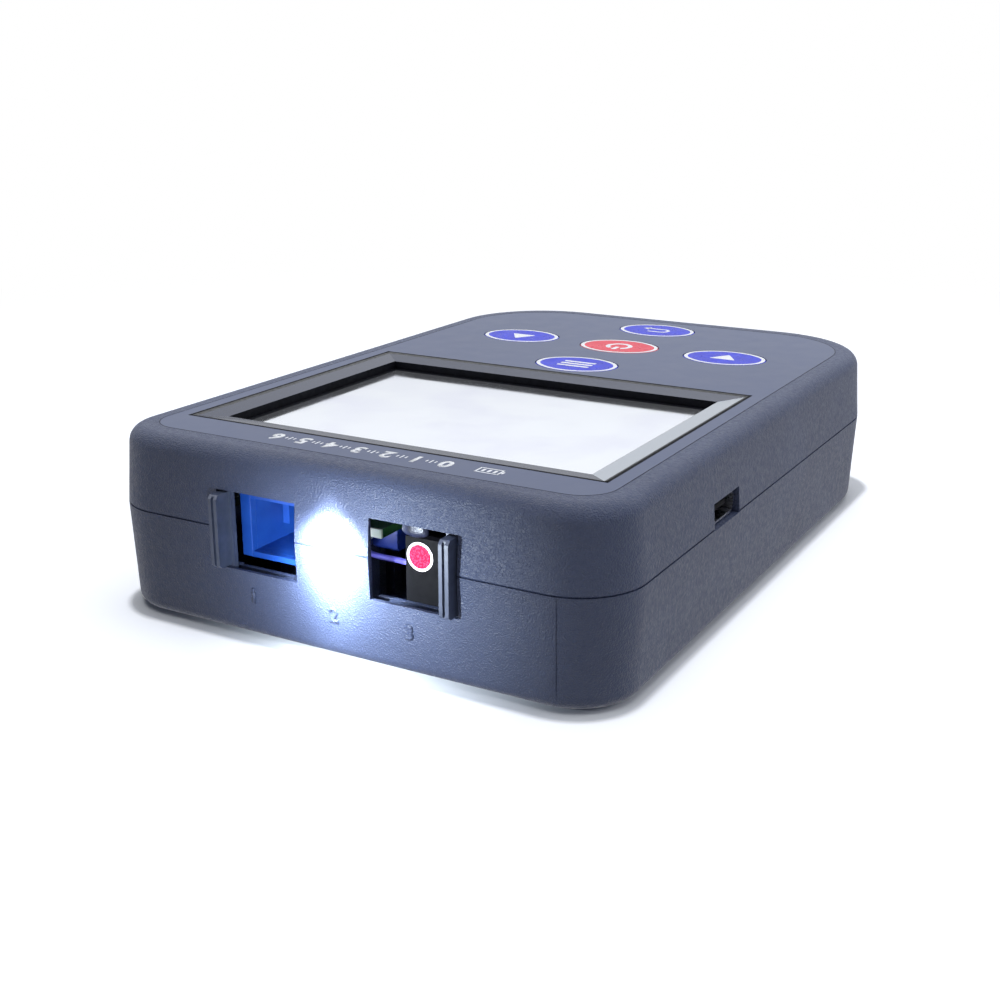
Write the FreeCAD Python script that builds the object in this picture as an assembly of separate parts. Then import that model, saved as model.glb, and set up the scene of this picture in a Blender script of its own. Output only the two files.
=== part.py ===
import FreeCAD, Part
import math
import os

# Handheld optical time domain reflectometer, millimetres.
# +Z is up out of the screen, -Y is the end with the optical ports, +X is the side with the charging socket.
# The origin is under the middle of the whole tester, on the plane that its back rests on.

# ---- case ----
body_width = 80.0
body_length = 117.4
body_height = 26.1
upper_height = 11.1         # upper housing, above the plane where the two meet
parting_groove = 0.25       # groove that the upper housing leaves along the parting line
wall = 2.2
roof = 2.0
floor = 2.0
front_corner_r = 9.2
rear_corner_r = 19.4
upper_draft = 0.9           # how far the upper housing leans in by its top
lower_draft = 0.6           # how far the lower housing leans in by its bottom
top_edge_r = 2.4
bottom_edge_r = 1.6
lip_thickness = 1.0         # lip of the lower housing inside the upper one
lip_height = 1.2
fit_gap = 0.1               # clearance between moulded parts

# ---- keypad film ----
film_thickness = 0.3
film_side_margin = 4.4
film_end_margin = 5.1
film_corner_r = 5.0
film_gap = 0.15

# ---- display ----
frame_side_margin = 7.1     # from the case side to the bevelled frame round the screen
frame_from_front = 12.2
keypad_zone = 54.5          # case left behind the frame
bevel_width = 3.6
bevel_drop = 0.6
bevel_step = 0.45           # steeper strip at the outer edge of the bevel
bevel_step_drop = 0.16
gasket_thickness = 0.4
gasket_width = 2.4
glass_thickness = 0.8
backlight_thickness = 1.7
lcd_foam = 3.5
lcd_side_margin = 5.4       # from the case side to the display
lcd_end_margin = 0.35       # from the frame's end to the display's
lcd_foam_width = 5.0
lcd_foam_inset = 3.0        # from the display's edges to its pads
lcd_rim = 1.4               # backlight frame outside the glass
flex_thickness = 0.2
flex_width = 30.0
flex_tail = 4.0             # ribbon under the display, up to its connector
flex_height = 0.5           # ribbon above the board
connector_width = 2.2
connector_height = 1.0
connector_side = 1.5        # connector past the ribbon, each side

# ---- keys ----
key_width = 14.4
key_length = 11.2
key_end_roundness = 0.82    # radius of an oval's ends, as a share of its half length
key_pitch_x = 19.8
key_pitch_y = 17.0
keypad_from_rear = 30.1     # centre key
key_thickness = 0.5
key_travel = 0.35
key_edge = 0.15
plunger_d = 5.0
plunger_flange_d = 7.2
plunger_flange = 0.6
switch_size = 6.2
switch_button_d = 3.4
switch_button_proud = 0.8
switch_button_depth = 0.4

# ---- board ----
board_thickness = 1.2
board_margin = 0.8
tongue_left = 3.2           # tongue between the two ports, left and right of the centre line
tongue_right = 5.5
board_screw_d = 2.0
board_screw_head_d = 3.6
board_screw_head = 1.3
post_r = 2.2
front_post_margin = 15.5    # from the case side to the front posts
mid_post_margin = 6.0
rear_post_x = 14.0

# ---- ports and their shutters ----
window_inner = 5.8
window_outer = 18.9
window_below = 5.6          # window below and above the parting plane
window_above = 5.3
front_web = 0.8             # wall left in front of a shutter
shutter_thickness = 0.8
shutter_overlap = 1.1       # how far a shutter reaches past its window
shutter_gap = 0.1
tab_width = 1.4
tab_proud = 1.6
tab_end_gap = 0.3
tab_stop_gap = 0.2
tab_groove = 0.4
tab_groove_depth = 0.35
tab_end_chamfer = 0.5
rail_thickness = 1.0

sc_x = -11.5
sc_drop = 0.35              # port centre below the parting plane
sc_from_front = 5.0
sc_body_width = 12.7
sc_body_height = 9.3
sc_mouth_width = 9.2
sc_mouth_height = 7.6
sc_length = 25.0
sc_collar = 2.0
sc_collar_proud = 0.8
sc_mid_wall = 1.6
sc_hook_x = 3.3             # inner face of a latch hook from the axis
sc_hook = 0.6
sc_hook_barb = 0.5
sc_hook_height = 3.2
sc_hook_length = 7.0
sc_slot = 0.9               # slot beside each hook, through the middle wall
sc_sleeve_length = 11.4
ferrule_d = 2.5
sleeve_wall = 0.35
sc_tube_wall = 0.8
sc_plug_back = 7.9          # inner plug's nose behind the adapter's middle
sc_plug_length = 12.5
sc_boot_length = 10.0
sc_boot_r = 2.5
sc_boot_tip_r = 1.2

vfl_x = 11.75
vfl_rise = 0.4              # port centre above the parting plane
vfl_barrel_d = 3.9
vfl_sleeve_length = 9.0
vfl_block_left = 2.1        # block beside the barrel's axis, left and right
vfl_block_right = 6.0
vfl_block_top = 2.9
vfl_clamp_d = 1.8
vfl_clamp_back = 3.6
vfl_foot = 2.0
vfl_foot_width = 5.0
vfl_can_d = 5.6
vfl_can_length = 4.8
vfl_can_rim = 1.2
vfl_pin_length = 3.2
vfl_lead_d = 0.8

led_d = 3.0
led_hole_gap = 0.15
led_setback = 0.3
led_length = 5.3
led_flange = 1.0
led_flange_proud = 0.4
led_leg = 0.5
led_leg_pitch = 2.54
led_legs = 1.6              # bare legs between the lamp and its holder
led_holder_length = 4.4
led_holder_height = 2.95
led_slot = 0.75             # slot round each leg

# ---- charging socket ----
usb_from_front = 36.5
usb_width = 8.94
usb_height = 3.26
usb_length = 7.3
usb_shell_t = 0.3
usb_recess = 0.9
usb_gap = 0.25
usb_corner_r = 1.5
usb_sink = 0.7              # how far the socket stands above the board's top
usb_core = 1.6
usb_tongue_width = 6.7
usb_tongue_thickness = 0.7
usb_tongue_back = 0.8

# ---- battery, fibre and optics ----
battery_side_room = 15.0    # from the case side to the battery
battery_from_front = 65.2
battery_from_rear = 6.2
battery_head_room = 6.0     # between the battery and the board
battery_foam = 0.5
battery_foam_inset = 4.0
battery_edge_r = 2.0
battery_rib = 1.2
battery_rib_length = 10.0
battery_rib_share = 0.6     # ribs' height as a share of the battery's
battery_socket_inset = 3.0  # socket's middle from the battery's side
battery_socket_back = 6.0   # socket behind the battery's front end
battery_socket_width = 6.0
battery_socket_length = 5.4
battery_socket_height = 4.4
lead_d = 1.0
lead_pitch = 2.0
lead_loop = 3.6             # leads in front of the battery
tray_x = 14.0
tray_r = 17.0
tray_hub_r = 9.0
tray_height = 4.4
tray_wall = 1.0
tray_gate = 8.0
coil_r = 13.2
coil_bundle_r = 1.4
fibre_d = 0.9
cord_sides = 8
fibre_lead = 23.0           # straight fibre behind the boot
engine_side_room = 6.0      # from the case side to the optical engine
engine_width = 13.0
engine_length = 30.0
engine_height = 9.0
engine_can_r = 2.7
engine_can = 3.0
engine_can_places = (15.0, 23.0)
can_width = 16.0            # screening can over the receiver
can_length = 12.0
can_height = 2.6
can_side_room = 4.0
can_front = 18.0            # its front edge ahead of the charging socket
can_wall = 0.3
chip_side_room = 9.0
chip_height = 1.2
processor_side = 14.0
memory_width = 10.0
memory_length = 8.0
charger_side = 4.0
driver_side = 7.0
coil_side = 6.0
coil_height = 3.0
small_width = 3.2
small_length = 1.6

# ---- case screws ----
screw_d = 2.5
screw_head_d = 4.5
screw_head = 1.8
screw_seat_web = 5.0        # plastic between screw head and parting plane
screw_sink_d = 5.4
boss_wall = 1.0
screw_slot = 0.5
screw_slot_length = 2.6
screw_slot_depth = 1.0
insert_d = 4.0
insert_length = 4.0
front_screw_margin = 9.0    # from the case side
front_screw_from_front = 7.4
rear_screw_margin = 10.2
rear_screw_from_rear = 10.2

# ---- worked out from the above ----
front_y = tab_proud - (body_length + tab_proud) / 2
rear_y = front_y + body_length
parting_z = body_height - upper_height
roof_z = body_height - roof
lcd_top_z = roof_z - gasket_thickness
glass_z = lcd_top_z - glass_thickness
backlight_z = glass_z - backlight_thickness
board_top = backlight_z - lcd_foam
board_z = board_top - board_thickness
frame_width = body_width - frame_side_margin * 2
frame_y0 = front_y + frame_from_front
frame_y1 = rear_y - keypad_zone
screen_x = frame_width / 2 - bevel_width
screen_y0 = frame_y0 + bevel_width
screen_y1 = frame_y1 - bevel_width
screen_y = (screen_y0 + screen_y1) / 2
lcd_width = body_width - lcd_side_margin * 2
lcd_length = frame_y1 - frame_y0 - lcd_end_margin * 2
keypad_y = rear_y - keypad_from_rear
keys = {
    "left": (-key_pitch_x, keypad_y),
    "right": (key_pitch_x, keypad_y),
    "front": (0.0, keypad_y - key_pitch_y),
    "rear": (0.0, keypad_y + key_pitch_y),
    "centre": (0.0, keypad_y),
}
shutter_y0 = front_y + front_web + shutter_gap
shutter_y1 = shutter_y0 + shutter_thickness
window_low = parting_z - window_below
window_high = parting_z + window_above
shutter_z0 = window_low - shutter_overlap
shutter_z1 = window_high + shutter_overlap
tab_out = window_outer - tab_stop_gap
tab_in = tab_out - tab_width
shutter_travel = tab_in - window_inner - tab_stop_gap
shutter_in = window_inner - tab_stop_gap + shutter_travel
shutter_out = window_outer + tab_stop_gap * 2.5 + shutter_travel
sc_y0 = front_y + sc_from_front
sc_y1 = sc_y0 + sc_length
sc_mid = (sc_y0 + sc_y1) / 2
sc_z = parting_z - sc_drop
plug_y0 = sc_mid + sc_plug_back
boot_y0 = plug_y0 + sc_plug_length
rail_y1 = shutter_y1 + shutter_gap + rail_thickness
vfl_z = parting_z + vfl_rise
vfl_y0 = rail_y1 + fit_gap
vfl_y1 = vfl_y0 + vfl_sleeve_length
led_y0 = front_y + led_setback
led_y1 = led_y0 + led_length
led_holder_y0 = led_y1 + led_legs
usb_y = front_y + usb_from_front
usb_x1 = body_width / 2 - usb_recess
usb_x0 = usb_x1 - usb_length
usb_z1 = board_top + usb_sink
usb_z0 = usb_z1 - usb_height
boss_r = screw_sink_d / 2 + boss_wall
case_screw_places = [
    (side * x, y)
    for side in (-1, 1)
    for x, y in (
        (body_width / 2 - front_screw_margin, front_y + front_screw_from_front),
        (body_width / 2 - rear_screw_margin, rear_y - rear_screw_from_rear),
    )
]
battery_y0 = front_y + battery_from_front
battery_y1 = rear_y - battery_from_rear
battery_z0 = floor + battery_foam
battery_z1 = board_z - battery_head_room
battery_half = body_width / 2 - battery_side_room
battery_socket_x = battery_half - battery_socket_inset
battery_socket_y = battery_y0 + battery_socket_back
tray_y = battery_y0 - 2.0 - tray_r
coil_z = floor + tray_wall + coil_bundle_r
engine_x0 = engine_side_room - body_width / 2
engine_x1 = engine_x0 + engine_width
engine_y0 = tray_y - engine_length / 2 + 3.0
engine_y1 = engine_y0 + engine_length
board_screw_places = [
    (side * x, y)
    for side in (-1, 1)
    for x, y in (
        (body_width / 2 - front_post_margin, front_y + 8.4),
        (body_width / 2 - mid_post_margin, max(engine_y1, frame_y1) + 5.0),
        (rear_post_x, rear_y - 6.5),
    )
]


def vec(x, y, z):
    return FreeCAD.Vector(x, y, z)


def box(x0, x1, y0, y1, z0, z1):
    return Part.makeBox(x1 - x0, y1 - y0, z1 - z0, vec(x0, y0, z0))


def rod(x, y, z0, z1, r):
    return Part.makeCylinder(r, z1 - z0, vec(x, y, z0), vec(0, 0, 1))


def rod_y(x, z, y0, y1, r):
    return Part.makeCylinder(r, y1 - y0, vec(x, y0, z), vec(0, 1, 0))


def prism(wire, height):
    return Part.Face(wire).extrude(vec(0, 0, height))


def corner(cx, cy, z, r, start):
    """Quarter arc round (cx, cy), anticlockwise from the angle start in degrees."""
    ends = [math.radians(start + turn) for turn in (0, 45, 90)]
    points = [vec(cx + r * math.cos(a), cy + r * math.sin(a), z) for a in ends]
    return Part.Arc(*points).toShape()


def outline(half, y0, y1, r_front, r_rear, z):
    """Rectangle with its own corner radius at the front and at the rear."""
    arcs = [
        corner(half - r_front, y0 + r_front, z, r_front, 270),
        corner(half - r_rear, y1 - r_rear, z, r_rear, 0),
        corner(r_rear - half, y1 - r_rear, z, r_rear, 90),
        corner(r_front - half, y0 + r_front, z, r_front, 180),
    ]
    edges = []
    for arc, following in zip(arcs, arcs[1:] + arcs[:1]):
        edges.append(arc)
        edges.append(Part.LineSegment(arc.lastVertex().Point, following.firstVertex().Point).toShape())
    return Part.Wire(edges)


def case_outline(inset, z):
    return outline(
        body_width / 2 - inset,
        front_y + inset,
        rear_y - inset,
        front_corner_r - inset,
        rear_corner_r - inset,
        z,
    )


def rectangle(half, y0, y1, z):
    points = [vec(-half, y0, z), vec(half, y0, z), vec(half, y1, z), vec(-half, y1, z)]
    return Part.makePolygon(points + points[:1])


def oval(x, y, z0, z1, gap):
    """A key's oval, drawn with four tangent arcs, grown by gap all round."""
    a, b = key_width / 2, key_length / 2
    end_r = b * key_end_roundness
    side_r = (a * a + b * b - 2 * a * end_r) / (2 * (b - end_r))
    reach = math.atan2(side_r - b, a - end_r)
    arcs = []
    for cx, cy, r, middle, half in (
        (a - end_r, 0, end_r, 0, reach),
        (0, b - side_r, side_r, math.pi / 2, math.pi / 2 - reach),
        (end_r - a, 0, end_r, math.pi, reach),
        (0, side_r - b, side_r, math.pi * 1.5, math.pi / 2 - reach),
    ):
        turns = (middle - half, middle, middle + half)
        points = [
            vec(x + cx + (r + gap) * math.cos(t), y + cy + (r + gap) * math.sin(t), z0) for t in turns
        ]
        arcs.append(Part.Arc(*points).toShape())
    return prism(Part.Wire(arcs), z1 - z0)


def edges_at(shape, z):
    return [e for e in shape.Edges if all(abs(v.Z - z) < 1e-6 for v in e.Vertexes)]


def film_outline(gap, z):
    return outline(
        body_width / 2 - film_side_margin - gap,
        front_y + film_end_margin + gap,
        rear_y - film_end_margin - gap,
        film_corner_r - gap,
        rear_corner_r - film_side_margin - gap,
        z,
    )


def rounded_path(points):
    """Straight runs joined by tangent arcs, each as large as its two runs allow."""
    edges = []
    start = points[0]
    for before, here, after in zip(points, points[1:], points[2:]):
        come = (here - before).normalize()
        go = (after - here).normalize()
        half = come.getAngle(go) / 2
        shorter = min((here - before).Length, (after - here).Length)
        cut = 0.45 * shorter
        radius = cut / math.tan(half)
        inward = (go - come).normalize()
        centre = here + inward * (radius / math.cos(half))
        first, last = here - come * cut, here + go * cut
        middle = centre - inward * radius
        edges.append(Part.LineSegment(start, first).toShape())
        edges.append(Part.Arc(first, middle, last).toShape())
        start = last
    edges.append(Part.LineSegment(start, points[-1]).toShape())
    return Part.Wire(edges)


def tube(points, r):
    """Cord of many flat sides along the rounded path."""
    along = points[1] - points[0]
    turn = FreeCAD.Rotation(along, 360 / cord_sides)
    spokes = [along.cross(vec(1, 2, 3)).normalize() * r]
    for _ in range(cord_sides - 1):
        spokes.append(turn.multVec(spokes[-1]))
    section = Part.makePolygon([points[0] + spoke for spoke in spokes + spokes[:1]])
    return rounded_path(points).makePipeShell([section], True, False)


def coil_ring(x, y, z, r, bundle_r):
    """Ring of as many flat sides as a cord, round an upright axis."""
    angles = [math.tau * side / cord_sides for side in range(cord_sides)]
    points = [vec(x + r + bundle_r * math.cos(a), y, z + bundle_r * math.sin(a)) for a in angles]
    return Part.Face(Part.makePolygon(points + points[:1])).revolve(vec(x, y, z), vec(0, 0, 1), 360)


def long_edges(shape):
    """Edges that run from front to rear."""
    return [e for e in shape.Edges if abs(e.Vertexes[0].Y - e.Vertexes[1].Y) > 1]


def flat_edges(shape, y0):
    """A block's level edges that lie in its front plane."""
    return [
        e
        for e in shape.Edges
        if all(abs(v.Y - y0) < 1e-6 for v in e.Vertexes) and abs(e.Vertexes[0].Z - e.Vertexes[1].Z) < 1e-6
    ]


def mirrored(shape):
    return shape.mirror(vec(0, 0, 0), vec(1, 0, 0))


def window(side, y0, y1):
    x0, x1 = sorted((side * window_inner, side * window_outer))
    return box(x0, x1, y0, y1, window_low, window_high)


def front_cuts():
    """Windows, lamp hole and the shutters' channel in the front wall, cut from both housings."""
    outside = front_y - 1.0
    inside = front_y + wall + 1.0
    channel_x = shutter_out + shutter_gap * 3
    cuts = [window(-1, outside, inside), window(1, outside, inside)]
    cuts.append(rod_y(0, parting_z, outside, inside, led_d / 2 + led_hole_gap))
    cuts.append(
        box(
            -channel_x,
            channel_x,
            front_y + front_web,
            front_y + wall + 0.01,
            shutter_z0 - shutter_gap,
            shutter_z1 + shutter_gap,
        )
    )
    return cuts


def usb_cut():
    return box(
        body_width / 2 - wall - 0.5,
        body_width / 2 + 0.5,
        usb_y - usb_width / 2 - usb_gap,
        usb_y + usb_width / 2 + usb_gap,
        min(parting_z, usb_z0 - usb_gap),
        usb_z1 + usb_gap,
    )


def lip_ring(gap):
    """The lip on the lower housing, or with a gap the rebate for it in the upper one."""
    top = parting_z + lip_height + gap
    ring = prism(case_outline(wall - lip_thickness - gap, parting_z), top - parting_z)
    ring = ring.cut(prism(case_outline(wall, parting_z), top - parting_z))
    front_zone = front_corner_r + gap - body_width / 2
    ring = ring.cut(box(front_zone, -front_zone, front_y - 1, front_y + wall + 1, 0, body_height))
    socket = usb_width / 2 + usb_gap + 0.8 - gap
    return ring.cut(box(0, body_width, usb_y - socket, usb_y + socket, 0, body_height))


def rails(z0, z1, post_z0, post_z1):
    """Walls behind the shutters, left and right: a rail between z0 and z1, and a post beside the window."""
    y0 = rail_y1 - rail_thickness
    rail = box(window_inner, shutter_out, y0, rail_y1, z0, z1)
    right = rail.fuse(box(shutter_in, shutter_out, y0, rail_y1, post_z0, post_z1))
    return [right, mirrored(right)]


def upper_housing():
    low, high = case_outline(0, parting_z), case_outline(upper_draft, body_height)
    shell = Part.makeLoft([low, high], True, True)
    shell = shell.makeFillet(top_edge_r, edges_at(shell, body_height))
    shell = shell.makeChamfer(parting_groove, edges_at(shell, parting_z))
    shell = shell.cut(prism(case_outline(wall, parting_z), roof_z - parting_z))
    # recess for the film, with the display's frame left standing in it
    recess = prism(film_outline(0, body_height - film_thickness), film_thickness + 1)
    frame = prism(
        rectangle(frame_width / 2, frame_y0, frame_y1, body_height - film_thickness), film_thickness + 1
    )
    shell = shell.cut(recess.cut(frame))
    for half, y0, y1, drop, inner in (
        (frame_width / 2, frame_y0, frame_y1, 0, bevel_step),
        (
            frame_width / 2 - bevel_step,
            frame_y0 + bevel_step,
            frame_y1 - bevel_step,
            bevel_step_drop,
            bevel_width - bevel_step,
        ),
    ):
        top = body_height - drop
        bottom = body_height - (bevel_step_drop if drop == 0 else bevel_drop)
        loft = Part.makeLoft(
            [
                rectangle(half - inner, y0 + inner, y1 - inner, bottom),
                rectangle(half, y0, y1, top),
            ],
            True,
            True,
        )
        lid = box(-half, half, y0, y1, top, body_height + 1)
        shell = shell.cut(loft).cut(lid)
    shell = shell.cut(box(-screen_x, screen_x, screen_y0, screen_y1, roof_z - 1, body_height + 1))
    # bosses for the case screws and posts for the board
    for x, y in case_screw_places:
        shell = shell.fuse(rod(x, y, parting_z, roof_z, boss_r))
    for x, y in board_screw_places:
        shell = shell.fuse(rod(x, y, board_top, roof_z, post_r))
    for rib in rails(window_high + fit_gap * 2, roof_z, parting_z, roof_z):
        shell = shell.fuse(rib)
    for x, y in case_screw_places:
        shell = shell.cut(rod(x, y, parting_z, parting_z + insert_length, insert_d / 2))
        shell = shell.cut(rod(x, y, parting_z, parting_z + insert_length + 2, screw_d / 2 + fit_gap))
    for x, y in board_screw_places:
        shell = shell.cut(rod(x, y, board_top, roof_z - 0.6, board_screw_d / 2))
    for x, y in keys.values():
        pocket_z = body_height - key_thickness - key_travel - fit_gap
        shell = shell.cut(oval(x, y, pocket_z, body_height, fit_gap))
        shell = shell.cut(rod(x, y, roof_z, body_height, plunger_d / 2 + fit_gap))
    for cutter in front_cuts() + [usb_cut(), lip_ring(fit_gap)]:
        shell = shell.cut(cutter)
    return shell.removeSplitter()


def adapter_yoke():
    """Two ribs that the port adapter's collar drops between."""
    reach = sc_body_width / 2 + sc_collar_proud + 1.6
    yoke = None
    for side in (-1, 1):
        start = sc_mid + side * (sc_collar / 2 + fit_gap)
        y0, y1 = sorted((start, start + side * 1.6))
        rib = box(sc_x - reach, sc_x + reach, y0, y1, floor, sc_z)
        yoke = rib if yoke is None else yoke.fuse(rib)
    seat = box(
        sc_x - sc_body_width / 2 - fit_gap,
        sc_x + sc_body_width / 2 + fit_gap,
        sc_y0,
        sc_y1,
        sc_z - sc_body_height / 2,
        body_height,
    )
    return yoke.cut(seat)


def battery_ribs():
    """Low walls on the floor round the battery."""
    gap = fit_gap * 2
    top = battery_z0 + (battery_z1 - battery_z0) * battery_rib_share
    side_x = battery_half + gap
    ribs = []
    for y in (battery_y0 + battery_rib_length / 2, battery_y1 - battery_rib_length * 2):
        right = box(side_x, side_x + battery_rib, y, y + battery_rib_length, floor, top)
        ribs += [right, mirrored(right)]
    for y in (battery_y0 - gap - battery_rib, battery_y1 + gap):
        right = box(battery_half / 4, battery_half / 4 + battery_rib_length, y, y + battery_rib, floor, top)
        ribs += [right, mirrored(right)]
    return ribs


def lower_housing():
    low, high = case_outline(lower_draft, 0), case_outline(0, parting_z)
    shell = Part.makeLoft([low, high], True, True)
    shell = shell.makeFillet(bottom_edge_r, edges_at(shell, 0))
    shell = shell.cut(prism(case_outline(wall, floor), parting_z - floor))
    shell = shell.fuse(lip_ring(0))
    for x, y in case_screw_places:
        shell = shell.fuse(rod(x, y, floor / 2, parting_z, boss_r))
    walls = rails(floor / 2, window_low - fit_gap * 2, floor / 2, parting_z)
    for rib in walls + [adapter_yoke()] + battery_ribs():
        shell = shell.fuse(rib)
    seat_z = parting_z - screw_seat_web
    for x, y in case_screw_places:
        shell = shell.cut(rod(x, y, 0, seat_z, screw_sink_d / 2))
        shell = shell.cut(rod(x, y, 0, parting_z, screw_d / 2 + fit_gap))
    for cutter in front_cuts() + [usb_cut()]:
        shell = shell.cut(cutter)
    return shell.removeSplitter()


def keypad_overlay():
    z0 = body_height - film_thickness
    film = prism(film_outline(film_gap, z0), film_thickness)
    half = frame_width / 2 + film_gap
    film = film.cut(box(-half, half, frame_y0 - film_gap, frame_y1 + film_gap, z0 - 1, body_height + 1))
    for x, y in keys.values():
        film = film.cut(oval(x, y, z0 - 1, body_height + 1, fit_gap))
    return film


def key_cap(x, y):
    cap = oval(x, y, body_height - key_thickness, body_height, 0)
    return cap.makeChamfer(key_edge, edges_at(cap, body_height))


def key_plunger(x, y):
    """Stem from the cap through the roof, with a flange that stops it under the roof."""
    top = roof_z - fit_gap
    stem = rod(x, y, top - plunger_flange, body_height - key_thickness, plunger_d / 2)
    return stem.fuse(rod(x, y, top - plunger_flange, top, plunger_flange_d / 2)).removeSplitter()


def switch_button(x, y):
    top = roof_z - fit_gap - plunger_flange
    return rod(x, y, top - switch_button_proud - switch_button_depth, top, switch_button_d / 2)


def tact_switch(x, y):
    top = roof_z - fit_gap - plunger_flange - switch_button_proud
    half = switch_size / 2
    well = top - switch_button_depth - key_travel - fit_gap
    body = box(x - half, x + half, y - half, y + half, board_top, top)
    return body.cut(rod(x, y, well, top, switch_button_d / 2 + fit_gap / 2))


def display_gasket():
    outer = rectangle(screen_x + gasket_width, screen_y0 - gasket_width, screen_y1 + gasket_width, lcd_top_z)
    ring = prism(outer, gasket_thickness)
    return ring.cut(box(-screen_x, screen_x, screen_y0, screen_y1, lcd_top_z - 1, roof_z + 1))


def lcd_slab(inset, z0, z1):
    half = lcd_width / 2 - inset
    return box(-half, half, screen_y - lcd_length / 2 + inset, screen_y + lcd_length / 2 - inset, z0, z1)


def lcd_backlight():
    """Light guide in its frame: a tray whose rim stands up beside the glass."""
    tray = lcd_slab(0, backlight_z, glass_z + glass_thickness / 2)
    return tray.cut(lcd_slab(lcd_rim, glass_z, glass_z + glass_thickness))


def lcd_foam_pads():
    """Two pads between the board and the display, behind the inner plug."""
    y0 = boot_y0 + board_margin
    y1 = screen_y + lcd_length / 2 - lcd_foam_inset
    right = lcd_width / 2 - lcd_foam_inset - lcd_foam_width
    left = flex_tail * 2 + connector_width - lcd_width / 2
    return Part.Compound(
        [box(x, x + lcd_foam_width, y0, y1, board_top, backlight_z) for x in (left, right)]
    )


def lcd_flex():
    """Ribbon that leaves the display's side, turns under it and enters its connector."""
    edge = -lcd_width / 2
    outer = (glass_z - flex_thickness - board_top - flex_height) / 2
    middle = board_top + flex_height + outer
    x = edge - flex_thickness * 2

    def half_ring(r):
        return Part.Arc(vec(x, 0, middle + r), vec(x - r, 0, middle), vec(x, 0, middle - r)).toShape()

    inner = outer - flex_thickness
    tail = edge + flex_tail
    lines = [
        (vec(x, 0, middle - outer), vec(tail, 0, middle - outer)),
        (vec(tail, 0, middle - outer), vec(tail, 0, middle - inner)),
        (vec(tail, 0, middle - inner), vec(x, 0, middle - inner)),
        (vec(x, 0, middle + inner), vec(edge, 0, middle + inner)),
        (vec(edge, 0, middle + inner), vec(edge, 0, middle + outer)),
        (vec(edge, 0, middle + outer), vec(x, 0, middle + outer)),
    ]
    edges = [half_ring(outer), half_ring(inner)] + [Part.LineSegment(*line).toShape() for line in lines]
    ribbon = Part.Face(Part.Wire(Part.__sortEdges__(edges))).extrude(vec(0, flex_width, 0))
    ribbon.translate(vec(0, screen_y - flex_width / 2, 0))
    return ribbon


def flex_connector():
    x0 = flex_tail - lcd_width / 2
    y0 = screen_y - flex_width / 2 - connector_side
    y1 = screen_y + flex_width / 2 + connector_side
    return box(x0, x0 + connector_width, y0, y1, board_top, board_top + connector_height)


def main_board():
    board = prism(case_outline(wall + board_margin, board_z), board_thickness)
    front = rail_y1 + board_margin
    board = board.cut(box(-body_width, body_width, front_y, front, 0, body_height))
    port_half = sc_body_width / 2 + sc_collar_proud + board_margin
    board = board.cut(box(sc_x - port_half, -tongue_left, front_y, sc_y1 + board_margin, 0, body_height))
    plug_half = sc_mouth_width / 2 + board_margin
    plug_end = boot_y0 + sc_boot_length + board_margin
    board = board.cut(box(sc_x - plug_half, sc_x + plug_half, front_y, plug_end, 0, body_height))
    block_side = vfl_x + vfl_block_right + board_margin
    board = board.cut(box(tongue_right, block_side, front_y, vfl_y1 + board_margin, 0, body_height))
    lamp_half = led_d / 2 + led_flange_proud + fit_gap
    board = board.cut(box(-lamp_half, lamp_half, front_y, led_y1 + fit_gap, 0, body_height))
    can_half = vfl_can_d / 2 + board_margin
    can_end = vfl_y1 + vfl_can_length + vfl_pin_length + board_margin
    board = board.cut(box(vfl_x - can_half, vfl_x + can_half, front_y, can_end, 0, body_height))
    socket_half = usb_width / 2 + usb_gap
    board = board.cut(
        box(usb_x0 - usb_gap, body_width, usb_y - socket_half, usb_y + socket_half, 0, body_height)
    )
    for x, y in case_screw_places:
        board = board.cut(rod(x, y, 0, body_height, boss_r + board_margin))
        side = math.copysign(body_width, x)
        end = math.copysign(body_length, y)
        x0, x1 = sorted((x, side))
        y0, y1 = sorted((y, end))
        board = board.cut(box(x0, x1, y0, y1, 0, body_height))
    for x, y in board_screw_places:
        board = board.cut(rod(x, y, 0, body_height, board_screw_d / 2 + fit_gap))
    return board


def board_chips():
    """Processor, memory, converter and passives, hung under the board."""
    side_x = body_width / 2 - chip_side_room
    chip_y = battery_y0 - processor_side / 3
    chips = [
        (battery_socket_x - lead_loop, chip_y, processor_side, processor_side, chip_height),
        (-lead_d, chip_y, memory_width, memory_length, chip_height),
        (side_x, usb_y + processor_side, charger_side, charger_side, chip_height),
        (-side_x, keypad_y, driver_side, driver_side, chip_height),
        (side_x, keypad_y, coil_side, coil_side, coil_height),
        (side_x, keypad_y + driver_side, small_width, small_length, chip_height),
        (-side_x, keypad_y + driver_side, small_width, small_length, chip_height),
    ]
    return Part.Compound(
        [box(x - w / 2, x + w / 2, y - l / 2, y + l / 2, board_z - h, board_z) for x, y, w, l, h in chips]
    )


def shield_can():
    """Folded steel cover over the receiver, open towards the board."""
    x1 = body_width / 2 - can_side_room
    x0, y0, z0 = x1 - can_width, usb_y - can_front, board_z - can_height
    y1 = y0 + can_length
    t = can_wall
    return box(x0, x1, y0, y1, z0, board_z).cut(box(x0 + t, x1 - t, y0 + t, y1 - t, z0 + t, board_z))


def led_leg_box(x, y0, y1, size):
    return box(x - size / 2, x + size / 2, y0, y1, parting_z - size / 2, parting_z + size / 2)


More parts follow.
